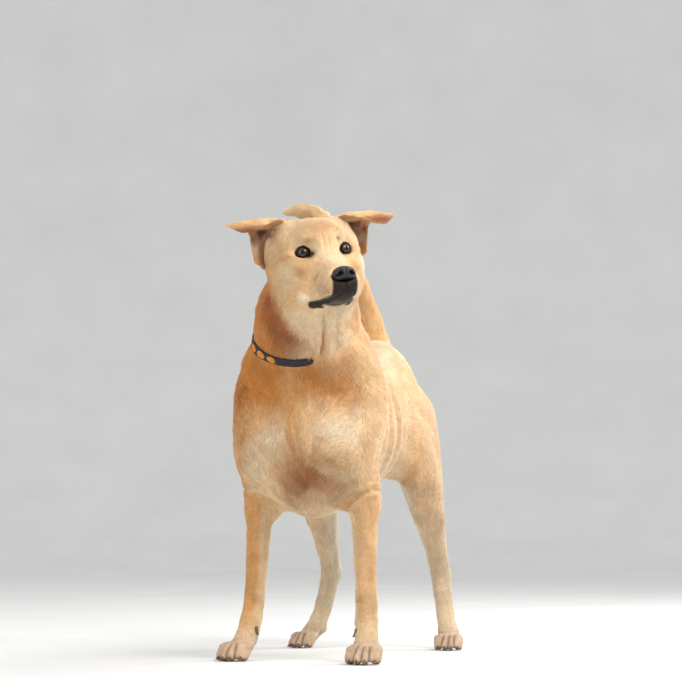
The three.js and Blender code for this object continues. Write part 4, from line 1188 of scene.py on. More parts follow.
def tuft_scale(start, root, normal):
    """Length of each tuft over its coat's own: less on the feet, face and tail tip, more in the ruff."""
    local = to_head(root)
    both = mirrored(local)
    scale = np.ones(len(root))
    if start in ("front", "hind"):
        scale *= 0.45 + 0.55 * ramp(root[:, 2], 30, 130)
    if start in ("head", "muzzle"):
        scale *= 0.55 + 0.45 * ramp(np.linalg.norm(local - np.array(MUZZLE_FRONT), axis=1), 20, 150)
        scale *= 0.5 + 0.5 * ramp(eye_distance(root), EYE_RADIUS + 3, EYE_RADIUS + 18)
    if start in RUFF:
        ruff = np.maximum(blob(both, (82, 66, -10), (16, 24, 24)), blob(both, (78, 56, -42), (20, 26, 26)))
        scale *= 1 + RUFF[start] * ruff
    if start in ("head", "ear"):
        scale *= 1 - 0.6 * ear_inside(local, normal)
        under = ramp((normal @ head_axes.T)[:, 2], 0.3, -0.1) * ramp(both[:, 0], 48, 56)
        scale *= 1 - 0.8 * (under * ramp(local[:, 2], 42, 50)) * ramp(local[:, 1], 12, 22)
    if start == "tail":
        tip = node_box("tail_tip")[0][0]
        scale *= 0.45 + 0.55 * ramp(root[:, 0], tip + 6, tip + 50)
    return scale


def make_coat(name, own, per, long, wide, lift):
    """Thin closed tufts of four corners: two at the root, a ridge behind them, and the tip along the lie."""
    chosen, weights = scatter(np.flatnonzero(owned(skin_owner, *own)[skin_faces].sum(1) >= 2), per)
    root = at(skin_points, chosen, weights)
    bare = bald(root, at(skin_regions["head"], chosen, weights))
    keep = bare < rng.random(len(root)) * 0.999 + 0.001
    root, chosen, weights = root[keep], chosen[keep], weights[keep]
    count = len(root)
    normal = unit(at(skin_normals, chosen, weights))
    direction = along_skin(at(lie, chosen, weights), normal)
    turn = rng.normal(0, TUFT_STRAY, count)[:, None] + TUFT_SWIRL * wave(root, 20, 31)[:, None]
    direction = direction * np.cos(turn) + np.cross(normal, direction) * np.sin(turn)
    side = np.cross(normal, direction)
    shrink = tuft_scale(own[0], root, normal)
    length = (long * (shrink * rng.uniform(0.7, 1.25, count)))[:, None]
    half = (wide * 0.5 * np.sqrt(shrink) * rng.uniform(0.75, 1.25, count))[:, None]
    clump = 1 + STRAND_LIFT * at(strands, chosen, weights)
    rise = (lift * shrink * rng.uniform(0.5, 1.05, count) * clump)[:, None]
    crosses = np.abs(above_collar(root + direction * length)) < COLLAR_HALF_WIDTH
    into = near_collar(root) & crosses & (above_collar(root) > 0)
    rise = np.where(into[:, None], np.minimum(rise, LOWEST_AT_COLLAR), rise)
    corners = np.stack([
        root - side * half - normal * TUFT_SUNK,
        root + side * half - normal * TUFT_SUNK,
        root + direction * length * TUFT_BEND + normal * (half * TUFT_THICK + rise * 0.3),
        root + direction * length + normal * rise,
    ], 1)
    normals = np.stack([
        unit(normal - side * 0.35 - direction * 0.1),
        unit(normal + side * 0.35 - direction * 0.1),
        unit(normal + direction * 0.1),
        unit(normal + direction * 0.3),
    ], 1)
    start = np.arange(count)[:, None] * 4
    faces = np.concatenate([start + np.array(f) for f in ((0, 3, 2), (2, 3, 1), (0, 1, 3), (0, 2, 1))])
    obj = new_object(name, corners.reshape(-1, 3), [faces], fur, normals.reshape(-1, 3))
    shade = at(skin_colour, chosen, weights) * (1 + rng.normal(0, TUFT_TONE, count))[:, None]
    shade = np.clip(shade, 0, 1)
    tints = np.stack([shade * ROOT_SHADE, shade * ROOT_SHADE, shade, np.clip(shade * TIP_SHADE, 0, 1)], 1)
    put(obj.data, "markings_and_painted_light", "FLOAT_COLOR", tints.reshape(-1, 3))
    patch = PATCH_HALF * np.array([(-1, -1), (1, -1), (0, 0), (0, 1)])
    spots = (np.column_stack(unwrap(name, root)) * (1 - 2 * MAP_EDGE) + MAP_EDGE)[:, None, :] + patch
    loops = spots.reshape(-1, 2)[faces.ravel()]
    obj.data.uv_layers.new(name="OFBake").data.foreach_set("uv", loops.astype(np.float32).ravel())


for coat_name, facts in COATS.items():
    make_coat(coat_name, **facts)


# ---- Eyes and lids ----
EYE_SPLAY = 20.0
EYE_RINGS, EYE_TURNS = 40, 64
EYE_PLAY = 0.15
IRIS_RADIUS, PUPIL_RADIUS = 7.9, 3.5
CORNEA_RISE, CORNEA_SPREAD = 0.9, 0.6
LID_TURNS, LID_STEPS = 96, 12
LID_GAP = 0.35
LID_WIDE, LID_TALL, LID_LOW = 11.6, 8.3, 7.6
LID_BORDER = 6.5
LID_CANTHUS = 3.4
LID_SWELL = 1.3
RAY_START = 60


def facing_out(points, groups):
    """The same faces, all turned over if together they enclose a negative volume."""
    volume, middle = 0.0, points.mean(0)
    for faces in groups:
        for t in range(1, faces.shape[1] - 1):
            a, b, c = (points[faces[:, k]] - middle for k in (0, t, t + 1))
            volume += dot(a, np.cross(b, c)).sum()
    return groups if volume > 0 else [faces[:, ::-1] for faces in groups]


def eye_frame(side):
    """Optical axis, direction towards the nose, and up, at right angles."""
    s = dict(SIDES)[side]
    turn = math.radians(EYE_SPLAY)
    axis = unit(from_head([s * math.sin(turn), -math.cos(turn), 0.04]) - eye_middle)
    inner = unit(-s * head_x - axis * dot(-s * head_x, axis))
    up = unit(head_z - axis * dot(head_z, axis) - inner * dot(head_z, inner))
    return axis, inner, up


def eye_material():
    n = Nodes("dog_eye")
    reach = n.attribute("reach").outputs["Fac"]
    turn = n.attribute("spoke").outputs["Vector"]
    fibres = n.noise(5.0, 4.0, vector=turn)
    ring = n.math("ADD", reach, n.math("MULTIPLY", n.math("SUBTRACT", fibres, 0.5), 1.2))
    brown = n.mix(n.fit(fibres, 0.3, 0.7), (0.022, 0.009, 0.004), (0.085, 0.036, 0.015))
    brown = n.mix(n.fit(ring, IRIS_RADIUS - 2.2, IRIS_RADIUS), brown, (0.008, 0.005, 0.004))
    brown = n.mix(n.fit(reach, PUPIL_RADIUS + 0.5, PUPIL_RADIUS - 0.2), brown, (0.004, 0.003, 0.004))
    # The white of the eye is dark brown: partly its own colour, partly painted shade over the eyeball.
    sclera_and_shade = n.mix(n.fit(fibres, 0.4, 0.7), (0.02, 0.014, 0.012), (0.07, 0.05, 0.045))
    whole = n.mix(n.fit(reach, IRIS_RADIUS, IRIS_RADIUS + 1.6), brown, sclera_and_shade)
    rough = n.fit(fibres, 0.3, 0.7, 0.03, 0.07)
    return n.finish(whole, rough, Specular_IOR_Level=0.4, Coat_Weight=0.12, Coat_Roughness=0.02)


def make_eye(side, material):
    """A closed ball with a raised cornea, turned outward."""
    tilt, turn = np.linspace(0, math.pi, EYE_RINGS + 1)[1:-1], circle(EYE_TURNS)
    cornea = math.asin((IRIS_RADIUS + CORNEA_SPREAD) / EYE_RADIUS)
    swell = np.where(tilt < cornea, 1 - (tilt / cornea) ** 2, 0.0)
    radius = EYE_RADIUS - EYE_PLAY + CORNEA_RISE * swell * (2 - swell)
    across = radius * np.sin(tilt)
    local = np.column_stack([np.outer(across, np.cos(turn)).ravel(), np.outer(across, np.sin(turn)).ravel(),
                             np.repeat(radius * np.cos(tilt), EYE_TURNS)])
    local = np.vstack([local, [0, 0, EYE_RADIUS - EYE_PLAY + CORNEA_RISE], [0, 0, -EYE_RADIUS]])
    axis, inner, up = eye_frame(side)
    points = eye_centres[side] + local @ np.array([inner, up, axis])
    edge = np.arange(EYE_TURNS)
    after, last = (edge + 1) % EYE_TURNS, (len(tilt) - 1) * EYE_TURNS
    top, bottom = (np.full(EYE_TURNS, len(points) - k) for k in (2, 1))
    groups = [grid_quads(len(tilt), EYE_TURNS), np.column_stack([top, edge, after]),
              np.column_stack([last + edge, bottom, last + after])]
    obj = new_object(f"eyeball_{side}", points, facing_out(points, groups), material)
    flat = np.hypot(local[:, 0], local[:, 1])
    spoke = local[:, :2] / np.maximum(flat, 1e-6)[:, None]
    flat = np.where(local[:, 2] > 0, flat, EYE_RADIUS + 2)
    put(obj.data, "reach", "FLOAT", flat)
    put(obj.data, "spoke", "FLOAT_VECTOR", np.column_stack([spoke * 2.0, flat * 0.12]))
    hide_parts(f"eye_{side}")


def lid_outline(turn):
    """Edge of the opening, across towards the nose and upwards, at each angle around the eye."""
    c, s = np.cos(turn), np.sin(turn)
    tall = np.where(s > 0, LID_TALL, LID_LOW)
    wide = np.where(c > 0, LID_WIDE + LID_CANTHUS, LID_WIDE)
    across = wide * np.sign(c) * np.abs(c) ** 0.9
    upward = tall * s * (1 - 0.35 * np.abs(c) ** 3)
    return across, upward - 4.2 * np.maximum(c, 0) ** 3 - 2.2 * np.maximum(-c, 0) ** 3


def lid_material():
    n = Nodes("eyelid_rim")
    markings_and_painted_light = n.attribute("markings_and_painted_light").outputs["Color"]
    wrinkle = n.noise(700.0, 3.0)
    base = n.mix(n.fit(wrinkle, 0.3, 0.7, 0.0, 0.35), markings_and_painted_light, (0.0, 0.0, 0.0))
    n.relief(wrinkle, 0.0004, 0.6)
    return n.finish(base, n.fit(wrinkle, 0.3, 0.7, 0.28, 0.5), Specular_IOR_Level=0.5)


def make_lids(side, material):
    """A rim round the opening, dark at its edge, that runs over the eyeball and down into the skin."""
    axis, inner, up = eye_frame(side)
    middle, radius = eye_centres[side], EYE_RADIUS + LID_GAP
    turn = circle(LID_TURNS)
    across, upward = lid_outline(turn)
    spread = np.hypot(across, upward)
    away = np.column_stack([across, upward]) / spread[:, None]

    def on_ball(reach, lift):
        offset = away * reach[:, None]
        flat = np.minimum(np.hypot(*offset.T), radius * 0.985)
        offset = offset * (flat / np.maximum(np.hypot(*offset.T), 1e-6))[:, None]
        depth = np.sqrt(np.maximum(radius**2 - flat**2, 0)) + lift
        return middle + offset[:, :1] * inner + offset[:, 1:] * up + depth[:, None] * axis

    ends = []
    for offset in away * (spread + LID_BORDER + 2.0 * np.maximum(np.cos(turn), 0))[:, None]:
        origin = middle + offset[0] * inner + offset[1] * up + axis * RAY_START
        place, normal, _, _ = skin_tree.ray_cast(Vector(origin), Vector(-axis))
        ends.append(np.array(place) - np.array(normal) * 0.5)
    ends, ridge = np.array(ends), on_ball(spread + 0.9, 1.0)
    rows, dark = [on_ball(spread - 0.2, -1.5), on_ball(spread, 0.0)], [np.ones(LID_TURNS)] * 2
    corner = ramp(np.cos(turn), 0.55, 1.0)
    for i in range(LID_STEPS + 1):
        t = i / LID_STEPS
        swell = LID_SWELL * math.sin(math.pi * t) * (1 - t)
        rows.append(ridge * (1 - t) + ends * t + axis * swell)
        dark.append(1 - ramp(t - 0.75 * corner, 0.16, 0.46))
    points = np.vstack(rows)
    quads = grid_quads(len(rows), LID_TURNS, turned=True)
    if dot(face_normals(points, quads[:, :3]), axis).sum() < 0:
        quads = quads[:, ::-1]
    obj = new_object(f"eyelids_{side}", points, [quads], material)
    regions = {name: np.full(len(points), float(name == "head")) for name in REGIONS}
    shade = coat_colour(points, np.tile(axis, (len(points), 1)), regions)
    put(obj.data, "markings_and_painted_light", "FLOAT_COLOR", tint(shade, BLACK * 0.9, np.concatenate(dark)))


eye_finish, lid_finish = eye_material(), lid_material()
for eye_side, _ in SIDES:
    make_eye(eye_side, eye_finish)
    make_lids(eye_side, lid_finish)


# ---- Nose leather, carved as a distance field in the head frame ----
NOSE_VOXEL = 0.6
NOSE_MARGIN = 2
NOSE_ROUNDS = 4


def blob_distance(cells, middle, radii):
    """About the distance to an ellipsoid."""
    scaled = [(cells[i] - middle[i]) / radii[i] for i in range(3)]
    far = np.sqrt(sum(q * q for q in scaled))
    steep = np.sqrt(sum((q / radii[i]) ** 2 for i, q in enumerate(scaled)))
    return far * (far - 1) / np.maximum(steep, 1e-6)


def melt(a, b, k):
    """Both shapes together, with a smooth join about k wide."""
    h = np.maximum(k - np.abs(a - b), 0) / k
    return np.minimum(a, b) - h * h * k * 0.25


def carve(a, hole, k):
    """The first shape less the second, with a soft edge."""
    return -melt(-a, hole, k)


def nose_material():
    n = Nodes("nose_leather")
    cells = n.add("ShaderNodeTexVoronoi", Scale=900.0, feature="DISTANCE_TO_EDGE")
    n.link(n.place(), cells.inputs["Vector"])
    pebble = n.fit(cells.outputs["Distance"], 0.0, 0.12)
    tone = n.noise(120.0, 3.0)
    base = n.mix(n.fit(tone, 0.3, 0.7), (0.008, 0.008, 0.009), (0.03, 0.029, 0.031))
    # Painted shade darkens the grooves between the pebbles of the leather.
    base = n.mix(n.fit(pebble, 0.0, 1.0, 0.5, 0.0), base, (0.004, 0.004, 0.004))
    n.relief(pebble, 0.00035, 0.8)
    return n.finish(base, n.fit(tone, 0.3, 0.7, 0.3, 0.46), Specular_IOR_Level=0.5)


def make_nose():
    """Pad, wings and tip, with nostrils that open outward through a slit, and the groove between them."""
    local = to_head(nose_points)
    low, high = local.min(0), local.max(0)
    half, mid = (high - low) / 2, (high + low) / 2
    first = low - NOSE_MARGIN
    axes = [np.arange(first[i], high[i] + NOSE_MARGIN, NOSE_VOXEL) for i in range(3)]
    x, y, z = np.meshgrid(*axes, indexing="ij", sparse=True)

    def lump(place, radii, both=True):
        return blob_distance((np.abs(x) if both else x, y, z), mid + np.array(place), radii)

    pad = lump((0, 2.0, 1.5), half * np.array([0.93, 0.95, 0.84]), False)
    wings = lump((half[0] * 0.56, -0.5, -1.0), (7.8, 11.5, 8.6))
    tip = lump((4.0, -half[1] * 0.42, 1.0), (6.5, 8.0, 8.5))
    body = melt(melt(pad, wings, 3.0), tip, 3.0)
    body = carve(body, lump((8.6, -half[1] + 3.6, -0.4), (3.9, 7.5, 3.6)), 1.6)
    body = carve(body, lump((13.4, -half[1] + 6.0, -3.2), (5.6, 6.0, 1.5)), 1.6)
    body = carve(body, lump((0, -half[1], -4.5), (0.7, 3.4, 8.5), False), 1.4)
    points, faces = extract(body.astype(np.float32), NOSE_VOXEL, (0, 0, 0))
    points = from_head(Web(faces, len(points)).relax(points + first, NOSE_ROUNDS))
    obj = new_object("nose_leather", points, facing_out(points, [faces]), nose_material())
    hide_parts("nose")


make_nose()


# ---- Claws ----
CLAW_TURNS, CLAW_STEPS = 16, 9
CLAW_SUNK, CLAW_SHORT = 3.5, 2.2
CLAW_SLIM, CLAW_FLAT = 0.9, 0.82
CLAW_TAPER, CLAW_HOOK = 0.78, 0.33
DEWCLAW_SUNK, DEWCLAW_LEAN = 6.0, 3.0


def claw_material():
    n = Nodes("claw_horn")
    reach = n.attribute("reach").outputs["Fac"]
    grain = n.noise(700.0, 3.0, (1.0, 0.3, 1.0))
    base = n.mix(n.fit(reach, 0.0, 1.0), (0.16, 0.07, 0.045), (0.035, 0.022, 0.018))
    base = n.mix(n.fit(grain, 0.35, 0.7, 0.0, 0.5), base, (0.23, 0.16, 0.12))
    n.relief(grain, 0.0003, 0.5)
    return n.finish(base, n.fit(grain, 0.3, 0.7, 0.3, 0.45), Specular_IOR_Level=0.5)


def make_claw(node, material):
    """A curved, slightly flattened cone along the CAD cone, hooked down at its tip."""
    dewclaw = "dewclaw" in node
    points = node_mesh(node)[0]
    middle = points.mean(0)
    tip = points[np.linalg.norm(points - middle, axis=1).argmax()]
    axis = unit(tip - middle)
    base = tip + axis * (((points - tip) @ axis).min() - (DEWCLAW_SUNK if dewclaw else CLAW_SUNK))
    if dewclaw:
        inward = (centre(node.replace("dewclaw", "paw")) - middle) * (1, 1, 0)
        base = base + unit(inward) * DEWCLAW_LEAN
        axis = unit(tip - base)
    tip = tip - axis * CLAW_SHORT
    radius = np.linalg.norm(np.cross(points - tip, axis), axis=1).max() * (1.0 if dewclaw else CLAW_SLIM)
    side = unit(np.cross(axis, (0.0, 0.0, 1.0)) + 1e-6)
    down = np.cross(axis, side)
    down = down * -np.sign(down[2]) if abs(down[2]) > 0.1 else down
    length = np.linalg.norm(tip - base)
    turn = circle(CLAW_TURNS)
    section = CLAW_FLAT * np.cos(turn)[:, None] * side + np.sin(turn)[:, None] * down
    along_claw = np.arange(CLAW_STEPS + 1) / CLAW_STEPS
    rows = [base + axis * length * t + down * radius * CLAW_HOOK * math.sin(math.pi * t * 0.9)
            + radius * (1 - CLAW_TAPER * t**1.4) * section for t in along_claw]
    points = np.vstack(rows + [[tip], [base]])
    edge = np.arange(CLAW_TURNS)
    after, last = (edge + 1) % CLAW_TURNS, CLAW_STEPS * CLAW_TURNS
    top, bottom = (np.full(CLAW_TURNS, len(points) - k) for k in (2, 1))
    groups = [grid_quads(len(rows), CLAW_TURNS, turned=True),
              np.column_stack([last + edge, last + after, top]), np.column_stack([after, edge, bottom])]
    obj = new_object(f"{node}_horn", points, facing_out(points, groups), material)
    put(obj.data, "reach", "FLOAT", np.append(np.repeat(along_claw, CLAW_TURNS), [1.0, 0.0]))
    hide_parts(node)


horn = claw_material()
for claw_node in sorted(n for n in nodes if "claw" in n):
    make_claw(claw_node, horn)


# ---- Collar: woven webbing and a moulded buckle at the nape ----
WEBBING_HALF, WEBBING_THICK = 6.8, 3.2
WEBBING_STEPS, WEBBING_SIDES = 288, 20
WEBBING_ROUNDS = 24
WEBBING_SUNK = 0.2
HIDDEN_DEPTH = 2.4
USUAL_REACH = 95.0
BUCKLE_REACH = 18
MOTIF_LENGTH = 31.0
PLAIN_TO = 196.0
OUTSIDE = 200
BUCKLE_ROWS, BUCKLE_COLUMNS = 97, 49
BUCKLE_THICK, BUCKLE_RIM = 6.4, 0.6
BUCKLE_SUNK = 7.0


def collar_ray(angle):
    """Directions out of the neck at these degrees round the collar."""
    a = np.radians(angle)[:, None]
    return np.cos(a) * collar_back + np.sin(a) * collar_across


def reach_of(tree, heights, rays, fallback):
    """Distance from the collar's axis to a surface, seen from outside."""
    out = []
    for height, ray in zip(heights, rays):
        origin = collar_centre + collar_axis * height + ray * OUTSIDE
        hit = tree.ray_cast(Vector(origin), Vector(-ray))
        out.append(fallback if hit[0] is None else OUTSIDE - hit[3])
    return np.array(out)


def smooth_loop(values, rounds):
    for _ in range(rounds):
        values = 0.5 * values + 0.25 * (np.roll(values, 1, 0) + np.roll(values, -1, 0))
    return values


def webbing_material():
    """Black weave, and where the third value is 1, navy spots and orange ovals with a darker middle."""
    n = Nodes("collar_webbing")
    parts = n.add("ShaderNodeSeparateXYZ")
    n.link(n.attribute("weave").outputs["Vector"], parts.inputs[0])
    around, across, fancy = parts.outputs
    inside = n.math("SUBTRACT", n.math("FRACT", n.math("MULTIPLY", around, 1 / MOTIF_LENGTH)), 0.5)

    def oval(long, wide):
        squares = [n.math("POWER", n.math("MULTIPLY", value, 1 / size), 2.0)
                   for value, size in ((inside, long), (across, wide))]
        return n.math("ADD", *squares)

    def ripple(value, length):
        return n.math("SINE", n.math("MULTIPLY", value, 2 * math.pi / length))

    ovals = n.math("MULTIPLY", n.fit(oval(0.4, 0.78 * WEBBING_HALF), 1.08, 0.92), fancy)
    check = n.math("MULTIPLY", ripple(around, 4.5), ripple(across, 6.0))
    spots = n.math("MULTIPLY", n.fit(check, 0.25, 0.45), fancy)
    rib, yarn = n.math("ADD", ripple(around, 1.5), 1.0), n.math("ADD", ripple(across, 1.1), 1.4)
    weave = n.math("MULTIPLY", rib, yarn)
    wear = n.noise(260.0, 4.0)
    base = n.mix(n.fit(wear, 0.35, 0.75), (0.012, 0.013, 0.016), (0.05, 0.05, 0.055))
    base = n.mix(spots, base, (0.012, 0.03, 0.13))
    orange = n.mix(n.fit(wear, 0.3, 0.7), (0.74, 0.235, 0.008), (0.86, 0.35, 0.018))
    orange = n.mix(n.fit(oval(0.05, 0.9), 1.15, 0.85), orange, (0.30, 0.12, 0.02))
    base = n.mix(ovals, base, orange)
    # Painted shade darkens the hollows between the ribs and yarns of the weave.
    base = n.mix(n.fit(weave, 0.0, 2.0, 0.35, 0.0), base, (0.0, 0.0, 0.0))
    n.relief(weave, 0.0004, 0.5)
    return n.finish(base, n.fit(wear, 0.3, 0.7, 0.62, 0.85), Specular_IOR_Level=0.35)


def make_webbing():
    """A closed strap on the CAD collar, that sinks under the skin where fur hides it."""
    steps = WEBBING_STEPS
    angle = np.arange(steps) * 360.0 / steps
    rays, hidden = collar_ray(angle), collar_hidden(angle)
    points, triangles = joined(("collar", "collar_buckle"))
    band = BVHTree.FromPolygons(points.tolist(), triangles.tolist())
    clear = np.minimum(angle, 360 - angle) >= BUCKLE_REACH
    around = np.append(angle[clear], angle[clear][0] + 360)
    edges = []
    for height in (-WEBBING_HALF * 0.8, WEBBING_HALF * 0.8):
        heights = np.full(steps, height)
        outer = reach_of(band, heights, rays, USUAL_REACH)[clear]
        outer = np.interp(angle, around, np.append(outer, outer[0]))
        sunk = reach_of(skin_tree, heights, rays, USUAL_REACH) - HIDDEN_DEPTH
        edges.append(smooth_loop(outer + (np.minimum(sunk, outer) - outer) * hidden, WEBBING_ROUNDS))
    turn = circle(WEBBING_SIDES)
    wide = WEBBING_HALF * np.sign(np.cos(turn)) * np.abs(np.cos(turn)) ** 0.35
    deep = WEBBING_THICK / 2 * np.sign(np.sin(turn)) * np.abs(np.sin(turn)) ** 0.5
    share = (wide / WEBBING_HALF + 1) / 2
    radius = edges[0][:, None] * (1 - share) + edges[1][:, None] * share
    radius = radius - WEBBING_THICK / 2 - WEBBING_SUNK + deep
    rows = collar_centre + radius[..., None] * rays[:, None, :] + wide[None, :, None] * collar_axis
    points, quads = rows.reshape(-1, 3), grid_quads(steps, WEBBING_SIDES, (True, True))
    obj = new_object("webbing", points, facing_out(points, [quads]), webbing_material())
    distance = np.radians(angle) * radius.mean()
    fancy = 1 - ramp(angle, PLAIN_TO + 5, PLAIN_TO) * ramp(angle, 20, 40)
    weave = np.stack(np.broadcast_arrays(distance[:, None], wide, fancy[:, None]), -1)
    put(obj.data, "weave", "FLOAT_VECTOR", weave.reshape(-1, 3))
    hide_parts("collar")


def buckle_material():
    n = Nodes("buckle_plastic")
    grain = n.noise(1500.0, 3.0)
    scuff = n.noise(120.0, 5.0, (1.0, 0.3, 1.0))
    base = n.mix(n.fit(scuff, 0.45, 0.7), (0.012, 0.012, 0.013), (0.06, 0.06, 0.062))
    n.relief(grain, 0.00015, 0.5)
    return n.finish(base, n.fit(scuff, 0.3, 0.7, 0.32, 0.55), Specular_IOR_Level=0.5)


def make_buckle():
    """A curved side-release buckle: a body with two sprung arms in its flanks, and bars at its ends."""
    points, triangles = node_mesh("collar_buckle")
    shell = BVHTree.FromPolygons(points.tolist(), triangles.tolist())
    offset = points - collar_centre
    angle = np.degrees(np.arctan2(offset @ collar_across, offset @ collar_back))
    half_angle = np.abs(angle).max() - 0.4
    half_wide = np.abs(offset @ collar_axis).max() - 0.3
    rows, columns = BUCKLE_ROWS, BUCKLE_COLUMNS
    u, v = np.meshgrid(np.linspace(-1, 1, rows), np.linspace(-1, 1, columns), indexing="ij")
    rays = collar_ray((u * half_angle).ravel())
    outer = reach_of(shell, (v * half_wide * 0.9).ravel(), rays, 0.0).reshape(rows, columns)
    outer = np.where(outer < 1, np.median(outer), outer)
    for _ in range(12):
        outer[1:-1] = 0.5 * outer[1:-1] + 0.25 * (outer[2:] + outer[:-2])
    long, wide = np.abs(u), np.abs(v)
    rounded = (1 - long**9) ** 0.5 * (1 - wide**7) ** 0.5
    press = ramp(wide, 0.52, 0.66) * ramp(u, -0.5, -0.38) * ramp(u, 0.3, 0.18)
    seam = bump(u, 0.34, 0.025)
    slots = bump(long, 0.8, 0.05) * ramp(wide, 0.85, 0.75)
    window = ramp(wide, 0.36, 0.28) * ramp(np.abs(u + 0.06), 0.3, 0.24)
    arm_edge = bump(wide, 0.58, 0.03) * ramp(u, -0.55, -0.45) * ramp(u, 0.36, 0.3)
    thick = BUCKLE_THICK * rounded + BUCKLE_RIM
    thick = thick - 1.7 * press - 1.0 * seam - 2.2 * slots - 0.9 * window - 0.9 * arm_edge
    thick = np.maximum(thick, BUCKLE_RIM)[..., None]
    squeeze = 1 - 0.12 * ramp(long, 0.75, 1.0)
    rays = rays.reshape(rows, columns, 3)
    top = collar_centre + (outer[..., None] - BUCKLE_SUNK + thick) * rays
    top = top + (v * half_wide * squeeze)[..., None] * collar_axis
    points = np.vstack([top.reshape(-1, 3), (top - thick * rays).reshape(-1, 3)])
    over, count = grid_quads(rows, columns, (False, False)), rows * columns
    place = np.arange(count).reshape(rows, columns)
    border = np.concatenate([place[:, 0], place[-1, 1:], place[-2::-1, -1], place[0, -2:0:-1]])
    onward = np.roll(border, -1)
    wall = np.column_stack([onward, border, border + count, onward + count])
    groups = facing_out(points, [over, over[:, ::-1] + count, wall])
    obj = new_object("buckle_body", points, groups, buckle_material())
    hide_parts("collar_buckle")


make_webbing()
make_buckle()


# ---- Whiskers ----
WHISKER_SIDES, WHISKER_STEPS = 5, 9
WHISKER_RADIUS = 0.14
WHISKER_DROOP = 0.22
LONE_WHISKERS = (
    ((24.0, -16.0, 19.0), (0.25, -0.9, 0.5), 20), ((20.0, -17.0, 20.0), (0.1, -0.9, 0.6), 17),
    ((8.0, -60.0, -92.0), (0.25, -0.5, -0.9), 16),
)


def make_whiskers():
    """Thin curved hairs from the spots of the muzzle, and a few from the brows and the chin."""
    sides, steps = WHISKER_SIDES, WHISKER_STEPS
    points, faces, shade = [], [], []
    hairs = [(root, (0.9, 0.45, -0.25), 30) for root in WHISKER_ROOTS[2::3]] + list(LONE_WHISKERS)
    turn, t = circle(sides), np.linspace(0, 1, steps)[:, None]
    droop = np.array([0, 0, -1.0])
    for place, aim, length in [(p * flip, a * flip, size) for flip in np.array([(LEFT, 1, 1), (RIGHT, 1, 1)])
                               for p, a, size in hairs]:
        spot = from_head(place)
        outward = unit(spot - from_head([0.0, place[1], -60.0]))
        hit, _, _, _ = skin_tree.ray_cast(Vector(spot + outward * RAY_START), Vector(-outward))
        if hit is None:
            continue
        aim = unit(unit(aim @ head_axes) + rng.normal(0, 0.12, 3))
        long = length * rng.uniform(0.75, 1.2)
        path = np.array(hit) - aim * 1.0 + aim * long * t + droop * long * WHISKER_DROOP * t * t
        across = unit(np.cross(aim, droop))
        ring = np.cos(turn)[:, None] * across + np.sin(turn)[:, None] * np.cross(across, aim)
        radius = WHISKER_RADIUS * (1 - 0.8 * t)
        faces.append(grid_quads(steps, sides, turned=True) + len(points) * steps * sides)
        points.append((path[:, None, :] + radius[:, None] * ring[None]).reshape(-1, 3))
        pale = 0.7 if rng.random() < 0.7 else 0.12
        shade.append(np.tile(PALE * pale, (steps * sides, 1)))
    points, faces = np.vstack(points), np.vstack(faces)
    obj = new_object("whiskers", points, facing_out(points, [faces]), fur)
    put(obj.data, "markings_and_painted_light", "FLOAT_COLOR", np.vstack(shade))


make_whiskers()


# ---- Camera, light and floor ----
CAMERA_PLACE = (1.3077, -3.9506, 0.226)
CAMERA_TURN = 18.0
CAMERA_TILT = 4.216
CAMERA_LENS, SENSOR_WIDTH = 129.6, 36.0
LIGHTS_AIM = (0.0, 0.0, 0.4)
WARM = (1.0, 0.98, 0.96)
WORLD_COLOUR, WORLD_STRENGTH = (0.95, 0.945, 0.93, 1.0), 0.88
FLOOR_TURNS, FLOOR_REACH, FLOOR_BEND, WALL_TOP = 96, 6.5, 2.5, 4.0


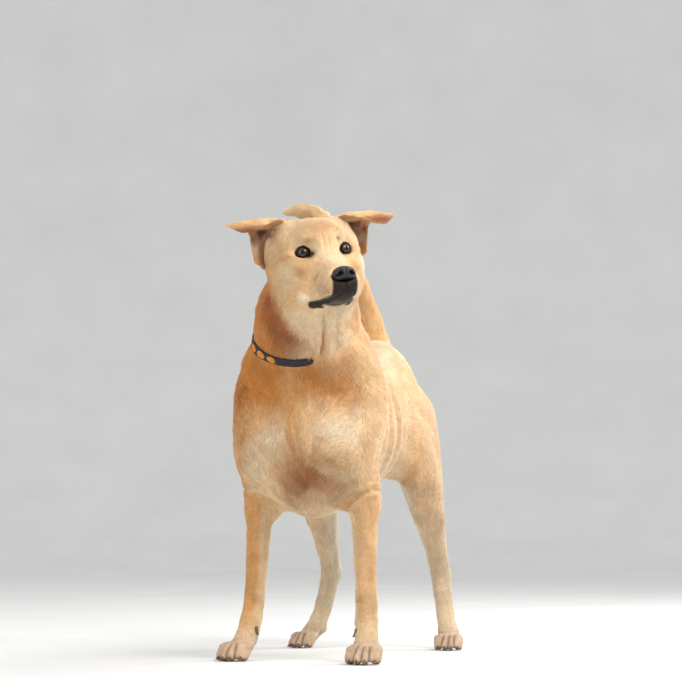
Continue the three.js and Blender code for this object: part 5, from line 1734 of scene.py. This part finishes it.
def add_camera():
    data = bpy.data.cameras.new("camera")
    data.lens, data.sensor_width = CAMERA_LENS, SENSOR_WIDTH
    camera = bpy.data.objects.new("camera", data)
    bpy.context.scene.collection.objects.link(camera)
    camera.location = CAMERA_PLACE
    camera.rotation_euler = (math.radians(90 + CAMERA_TILT), 0, math.radians(CAMERA_TURN))
    bpy.context.scene.camera = camera


def add_light(name, place, size, watts, tint_rgb):
    data = bpy.data.lights.new(name, "AREA")
    data.shape, data.size, data.energy, data.color = "DISK", size, watts, tint_rgb
    light = bpy.data.objects.new(name, data)
    bpy.context.scene.collection.objects.link(light)
    light.location = place
    aim = Vector(LIGHTS_AIM) - Vector(place)
    light.rotation_euler = aim.to_track_quat("-Z", "Y").to_euler()


def add_studio():
    """Three soft lights, a pale world, and a round floor that bends up into a wall far behind."""
    add_light("key", (1.9, -1.3, 2.6), 1.7, 74, WARM)
    add_light("rim", (1.6, 2.2, 2.0), 1.4, 60, WARM)
    add_light("fill", (-2.2, -2.8, 1.5), 2.4, 30, (1.0, 0.98, 0.95))
    world = bpy.data.worlds.new("studio")
    bpy.context.scene.world = world
    world.use_nodes = True
    background = world.node_tree.nodes["Background"]
    background.inputs["Color"].default_value = WORLD_COLOUR
    background.inputs["Strength"].default_value = WORLD_STRENGTH
    rings = [(r, 0.0) for r in (0.0, 1.0, 2.0, 4.0, FLOOR_REACH)]
    rings += [(FLOOR_REACH + FLOOR_BEND * math.sin(a), FLOOR_BEND - FLOOR_BEND * math.cos(a))
              for a in np.linspace(0.15, math.pi / 2, 12)]
    rings += [(FLOOR_REACH + FLOOR_BEND, WALL_TOP)]
    angle = circle(FLOOR_TURNS)
    points = np.vstack([np.column_stack([r * np.cos(angle), r * np.sin(angle), np.full(FLOOR_TURNS, z)])
                        for r, z in rings]) / MM
    quads = grid_quads(len(rings), FLOOR_TURNS)
    n = Nodes("studio_floor")
    grain = n.noise(3.0, 5.0)
    pale = n.mix(n.fit(grain, 0.3, 0.7, 0.0, 1.0), (0.72, 0.73, 0.73), (0.77, 0.78, 0.78))
    floor = new_object("floor", points, [quads], n.finish(pale, None, Roughness=0.7))
    bpy.context.scene.view_settings.view_transform = "Standard"


add_camera()
add_studio()
